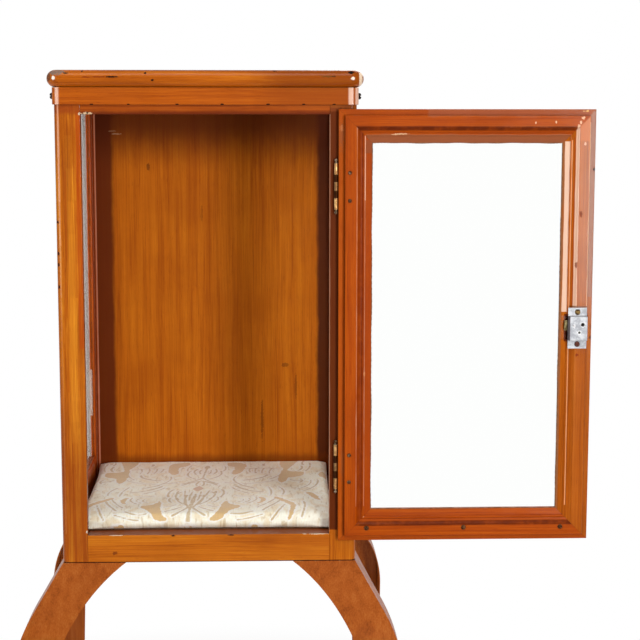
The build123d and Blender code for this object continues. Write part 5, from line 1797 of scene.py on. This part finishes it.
@dataclass
class Pad(Assembly):
    """The loose damask pad on the cabinet's floor."""

    low: Triple = (-184.0, -158.0, 599.2)
    high: Triple = (176.0, 174.0, 620.2)
    start_inset: float = 0.2
    thick: float = 18.4
    roll: float = 6.5
    crown: float = 1.6
    steps: int = 150
    flat_rings: int = 26
    edge_rings: int = 7
    square: float = 70.0
    voxel: float = 4.0
    pressure: float = 4.0
    frames: int = 20
    most_moved: float = 5.0
    drift: float = 0.15
    square_off: float = 0.07
    front_drop: float = 5.0
    front_reach: float = 0.42
    deepest: float = 12.0

    @property
    def middle(self) -> np.ndarray:
        """The middle of the pad's plan."""
        return (np.array(self.high[:2]) + np.array(self.low[:2])) / 2

    @property
    def half(self) -> np.ndarray:
        """Half the size of the pad's plan."""
        return (np.array(self.high[:2]) - np.array(self.low[:2])) / 2

    def slab(self) -> np.ndarray:
        """A rounded slab whose top is crowned.

        Parameter v runs round the slab as seen from above and u from the middle of its top,
        over its rolled edge, to the middle of its underside. The plan is a superellipse of a
        high power, close to a rectangle, the roll is a half circle squeezed to the slab's
        thickness, and the crown falls with the square of the distance from the middle.

        Returns:
            Rows by columns by three, in metres.
        """
        turn = np.linspace(0, 2 * np.pi, 4 * self.steps, endpoint=False)
        cosine, sine = np.cos(turn), np.sin(turn)
        away = (np.abs(cosine) ** self.square + np.abs(sine) ** self.square) ** (-1 / self.square)
        half = self.half - self.start_inset
        top = np.linspace(0.0, 1.0, self.flat_rings)
        side = np.linspace(0, np.pi, self.edge_rings + 2)[1:-1]
        none, full = np.zeros(self.flat_rings), np.ones(self.flat_rings)
        share = 1 - self.roll / half[0]
        spread = np.concatenate([top * share, np.full(self.edge_rings, share), top[::-1] * share])
        out = np.concatenate([none, self.roll * np.sin(side), none])
        rise = np.concatenate([full, np.cos(side), -full])
        x, y = (
            self.middle[axis] + (spread * half[axis] + out)[:, None] * plan
            for axis, plan in enumerate((away * cosine, away * sine))
        )
        crown = self.crown * (1 - spread ** 2) * (rise > 0.99)
        z = self.low[2] + self.thick / 2 * (1 + rise) + crown
        return np.stack([x, y, np.repeat(z[:, None], len(turn), axis=1)], axis=-1) * MM

    def swell(self, pad: bpy.types.Object) -> None:
        """Blows the pad up a little with the cloth simulation and keeps the result.

        Args:
            pad: The remeshed slab.
        """
        before = vertices(pad)
        cloth = pad.modifiers.new("cloth", "CLOTH")
        settings = cloth.settings
        settings.use_pressure = True
        settings.uniform_pressure_force = self.pressure
        settings.effector_weights.gravity = 0.0
        settings.quality = 5
        settings.tension_stiffness = settings.compression_stiffness = 18.0
        settings.bending_stiffness = 1.5
        cloth.collision_settings.use_collision = False
        cloth.point_cache.frame_start = 1
        cloth.point_cache.frame_end = self.frames
        scene = bpy.context.scene
        for number in range(1, self.frames + 1):
            scene.frame_set(number)
        applied(pad)
        scene.frame_set(1)
        moved = vertices(pad) - before
        moved[:, :2] *= self.drift
        length = np.linalg.norm(moved, axis=1, keepdims=True)
        limit = self.most_moved * MM
        scale = np.where(length > limit, limit / np.maximum(length, 1e-9), 1.0)
        move_vertices(pad, before + moved * scale)

    def settle(self, pad: bpy.types.Object) -> None:
        """Rests the underside flat on the board, keeps the pad in its room, and wrinkles it.

        The plan is stretched back to the pad's size, and its corners outward by the tenth
        power of how far out they are. The top slopes down to the front by the square of the
        way into the pad's front part. The wrinkles are a sum of sines of place, under half a
        millimetre, that fade to nothing at the underside.

        Args:
            pad: The swollen pad.
        """
        points = vertices(pad) / MM
        plan = points[:, :2]
        least, most = plan.min(axis=0), plan.max(axis=0)
        plan = (plan - (most + least) / 2) / ((most - least) / 2)
        corner = 1 + self.square_off * np.abs(plan[:, :1] * plan[:, 1:]) ** 10
        forward = np.clip((self.front_reach - 1 - plan[:, 1]) / self.front_reach, 0.0, 1.0)
        points[:, :2] = self.middle + self.half * np.clip(plan * corner, -1.0, 1.0)
        x, y, z = points.T
        share = np.clip((z - self.low[2]) / self.thick, 0.0, 1.0)
        waves = 0.22 * np.sin(x / 23 + 1.3 * np.sin(y / 37)) + 0.18 * np.sin(y / 17 + 1.1 * np.sin(x / 29))
        waves += 0.12 * np.sin((x + y) / 9.5) + 0.1 * np.sin((x - 1.4 * y) / 13.0)
        lain = z + (waves - self.front_drop * forward ** 2) * share
        points[:, 2] = np.clip(lain, self.low[2], self.high[2] + 1.5)
        move_vertices(pad, points * MM)

    def lay_cloth(self, pad: bpy.types.Object) -> None:
        """Writes the UV map that the weave follows, and the damask's drawing as attributes.

        On the top a point's place on the cloth is its place in plan. Past the rolled edge it
        goes on outward by the height fallen, on the side that it is nearest to.

        Args:
            pad: The finished pad.
        """
        mesh = pad.data
        points = vertices(pad)
        fallen = np.clip((self.low[2] + self.thick) * MM - points[:, 2], 0.0, None)
        from_middle = points[:, :2] - self.middle * MM
        near = np.abs(from_middle / (self.half * MM))
        pick = (near == near.max(axis=1, keepdims=True)).astype(float)
        flat = points[:, :2] + np.sign(from_middle) * pick * fallen[:, None]
        layer = mesh.uv_layers.new(name="cloth")
        corners_of = np.empty(len(mesh.loops), dtype=np.int64)
        mesh.loops.foreach_get("vertex_index", corners_of)
        layer.data.foreach_set("uv", flat[corners_of].reshape(-1))
        for name, depth in zip(("ground", "bud", "stroke"), DamaskDrawing().fields(flat / MM)):
            kept = mesh.attributes.new(name, "FLOAT", "POINT")
            kept.data.foreach_set("value", np.clip(depth, -self.deepest, self.deepest))

    def build(self) -> None:
        """Makes the pad and puts it in place of its solid."""
        pad = grid_mesh("damask_pad", self.slab(), closed_v=True)
        remesh = pad.modifiers.new("even", "REMESH")
        remesh.mode = "VOXEL"
        remesh.voxel_size = self.voxel * MM
        applied(pad)
        self.swell(pad)
        finer = pad.modifiers.new("finer", "SUBSURF")
        finer.levels = finer.render_levels = 1
        applied(pad)
        self.settle(pad)
        smooth(pad)
        self.lay_cloth(pad)
        pad.data.materials.append(Damask().build())
        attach(pad, "cabinet")
        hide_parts("pad_cushion")
        LOG.info("pad built with %d faces", len(pad.data.polygons))

    def finishes(self) -> dict[str, Finish]:
        """The finish of the pad's board."""
        return {"pad_board": PlainMatter("millboard", (104, 70, 40), (74, 46, 24))}


@dataclass
class Legs(Assembly):
    """Four flared legs of folded sheet, with glides under them."""

    def finishes(self) -> dict[str, Finish]:
        """The legs' finishes by node.

        Returns:
            Finishes by node names, with spaces between the names.
        """
        return {
            "leg_front_left leg_front_right leg_rear_left leg_rear_right": GrainPaint(
                "leg paint", Run.UP, (110, 46, 4), (164, 82, 22), (184, 108, 44), grain=0.8, rub=0.6,
                gloss=0.2, rough=0.45,
            ),
            "foot_glides": PlainMatter("glide rubber", (34, 32, 31), (48, 45, 43), 300.0, 0.7, 0.0003),
        }


@dataclass
class Lamp:
    """One soft lamp."""

    name: str
    at: Triple
    aim: Triple
    wide: float
    high: float
    power: float
    tone: Tone = (255, 255, 255)

    def build(self) -> None:
        """Hangs the lamp and turns it to its aim."""
        light = bpy.data.lights.new(self.name, "AREA")
        light.shape = "RECTANGLE"
        light.size, light.size_y, light.energy = self.wide, self.high, self.power
        light.color = linear(self.tone)[:3]
        thing = bpy.data.objects.new(self.name, light)
        thing.location = self.at
        thing.rotation_euler = (Vector(self.aim) - Vector(self.at)).to_track_quat("-Z", "Y").to_euler()
        bpy.context.scene.collection.objects.link(thing)


@dataclass
class Studio:
    """Floor, background, lamps and camera. Lengths here are metres."""

    eye: Triple = (0.0731, -2.364, 1.1964)
    yaw: float = 2.11
    pitch: float = 7.80
    roll: float = 0.06
    lens: float = 90.64
    sensor: float = 36.0
    sky: float = 0.42
    room: float = 0.14
    floor_half: float = 5.0
    lamps: tuple[Lamp, ...] = field(
        default_factory=lambda: (
            Lamp("key", (1.13, -2.45, 1.12), (0.3, 0.0, 1.0), 0.42, 1.06, 31.0, (255, 252, 248)),
            Lamp("side", (-2.2, -1.5, 1.4), (0.0, 0.0, 0.95), 0.6, 1.8, 18.0, (248, 251, 255)),
            Lamp("top", (0.2, -1.2, 3.0), (0.1, 0.0, 0.9), 1.4, 1.0, 18.0),
            Lamp("rear", (0.6, 2.4, 2.2), (0.1, 0.0, 0.95), 1.6, 1.6, 30.0),
        )
    )

    def world(self) -> None:
        """A white backdrop behind the cabinet, and a dimmer room on its door's side.

        Where it lights the cabinet it has one level all round.
        """
        world = bpy.data.worlds.new("white studio")
        world.use_nodes = True
        world.node_tree.nodes.clear()
        graph = Graph(world.node_tree)
        clear, seen = graph.rays()
        backward = graph.split(graph.add("ShaderNodeTexCoord").outputs["Generated"])[1]
        mirrored = graph.fade(backward, 0.3, 0.9, self.room, 1.0)
        shown = graph.most(mirrored, clear)
        level = graph.between(seen, self.sky, shown)
        sky = graph.add("ShaderNodeBackground", {0: WHITE, 1: level})
        graph.add("ShaderNodeOutputWorld", {0: sky.outputs[0]})
        bpy.context.scene.world = world

    def floor(self) -> None:
        """A wide flat floor under the cabinet."""
        steps = np.linspace(-self.floor_half, self.floor_half, 9)
        x, y = np.meshgrid(steps, steps)
        floor = grid_mesh("floor", np.stack([x, y, np.zeros_like(x)], axis=-1))
        floor.data.materials.append(PaleFloor().build())
        floor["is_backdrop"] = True

    def camera(self) -> None:
        """The photograph's own camera."""
        lens = bpy.data.cameras.new("camera")
        lens.lens, lens.sensor_width, lens.sensor_fit = self.lens, self.sensor, "HORIZONTAL"
        lens.clip_end = 60.0
        thing = bpy.data.objects.new("camera", lens)
        turn, tip = math.radians(self.yaw), math.radians(self.pitch)
        ahead = Vector((math.sin(turn) * math.cos(tip), math.cos(turn) * math.cos(tip), -math.sin(tip)))
        thing.location = self.eye
        level = ahead.to_track_quat("-Z", "Y")
        thing.rotation_euler = (level @ Quaternion((0, 0, 1), math.radians(self.roll))).to_euler()
        bpy.context.scene.collection.objects.link(thing)
        bpy.context.scene.camera = thing

    def build(self) -> None:
        """Sets up the studio and the plain view transform."""
        bpy.context.scene.view_settings.view_transform = "Standard"
        self.world()
        self.floor()
        for lamp in self.lamps:
            lamp.build()
        self.camera()
        LOG.info("studio built")


def corners() -> list[list[float]]:
    """The shown object's lowest and highest corners as plain lists."""
    return [list(map(float, corner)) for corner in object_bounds()]


def main() -> None:
    """Builds the cabinet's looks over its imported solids."""
    logging.basicConfig(level=logging.INFO, format="%(message)s")
    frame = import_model()
    Studio().build()
    for assembly in (Carcass(), Door(), Hinges(), Lock(), Pad(), Legs()):
        assembly.build()
        assembly.dress(frame)


if __name__ == "__main__":
    main()
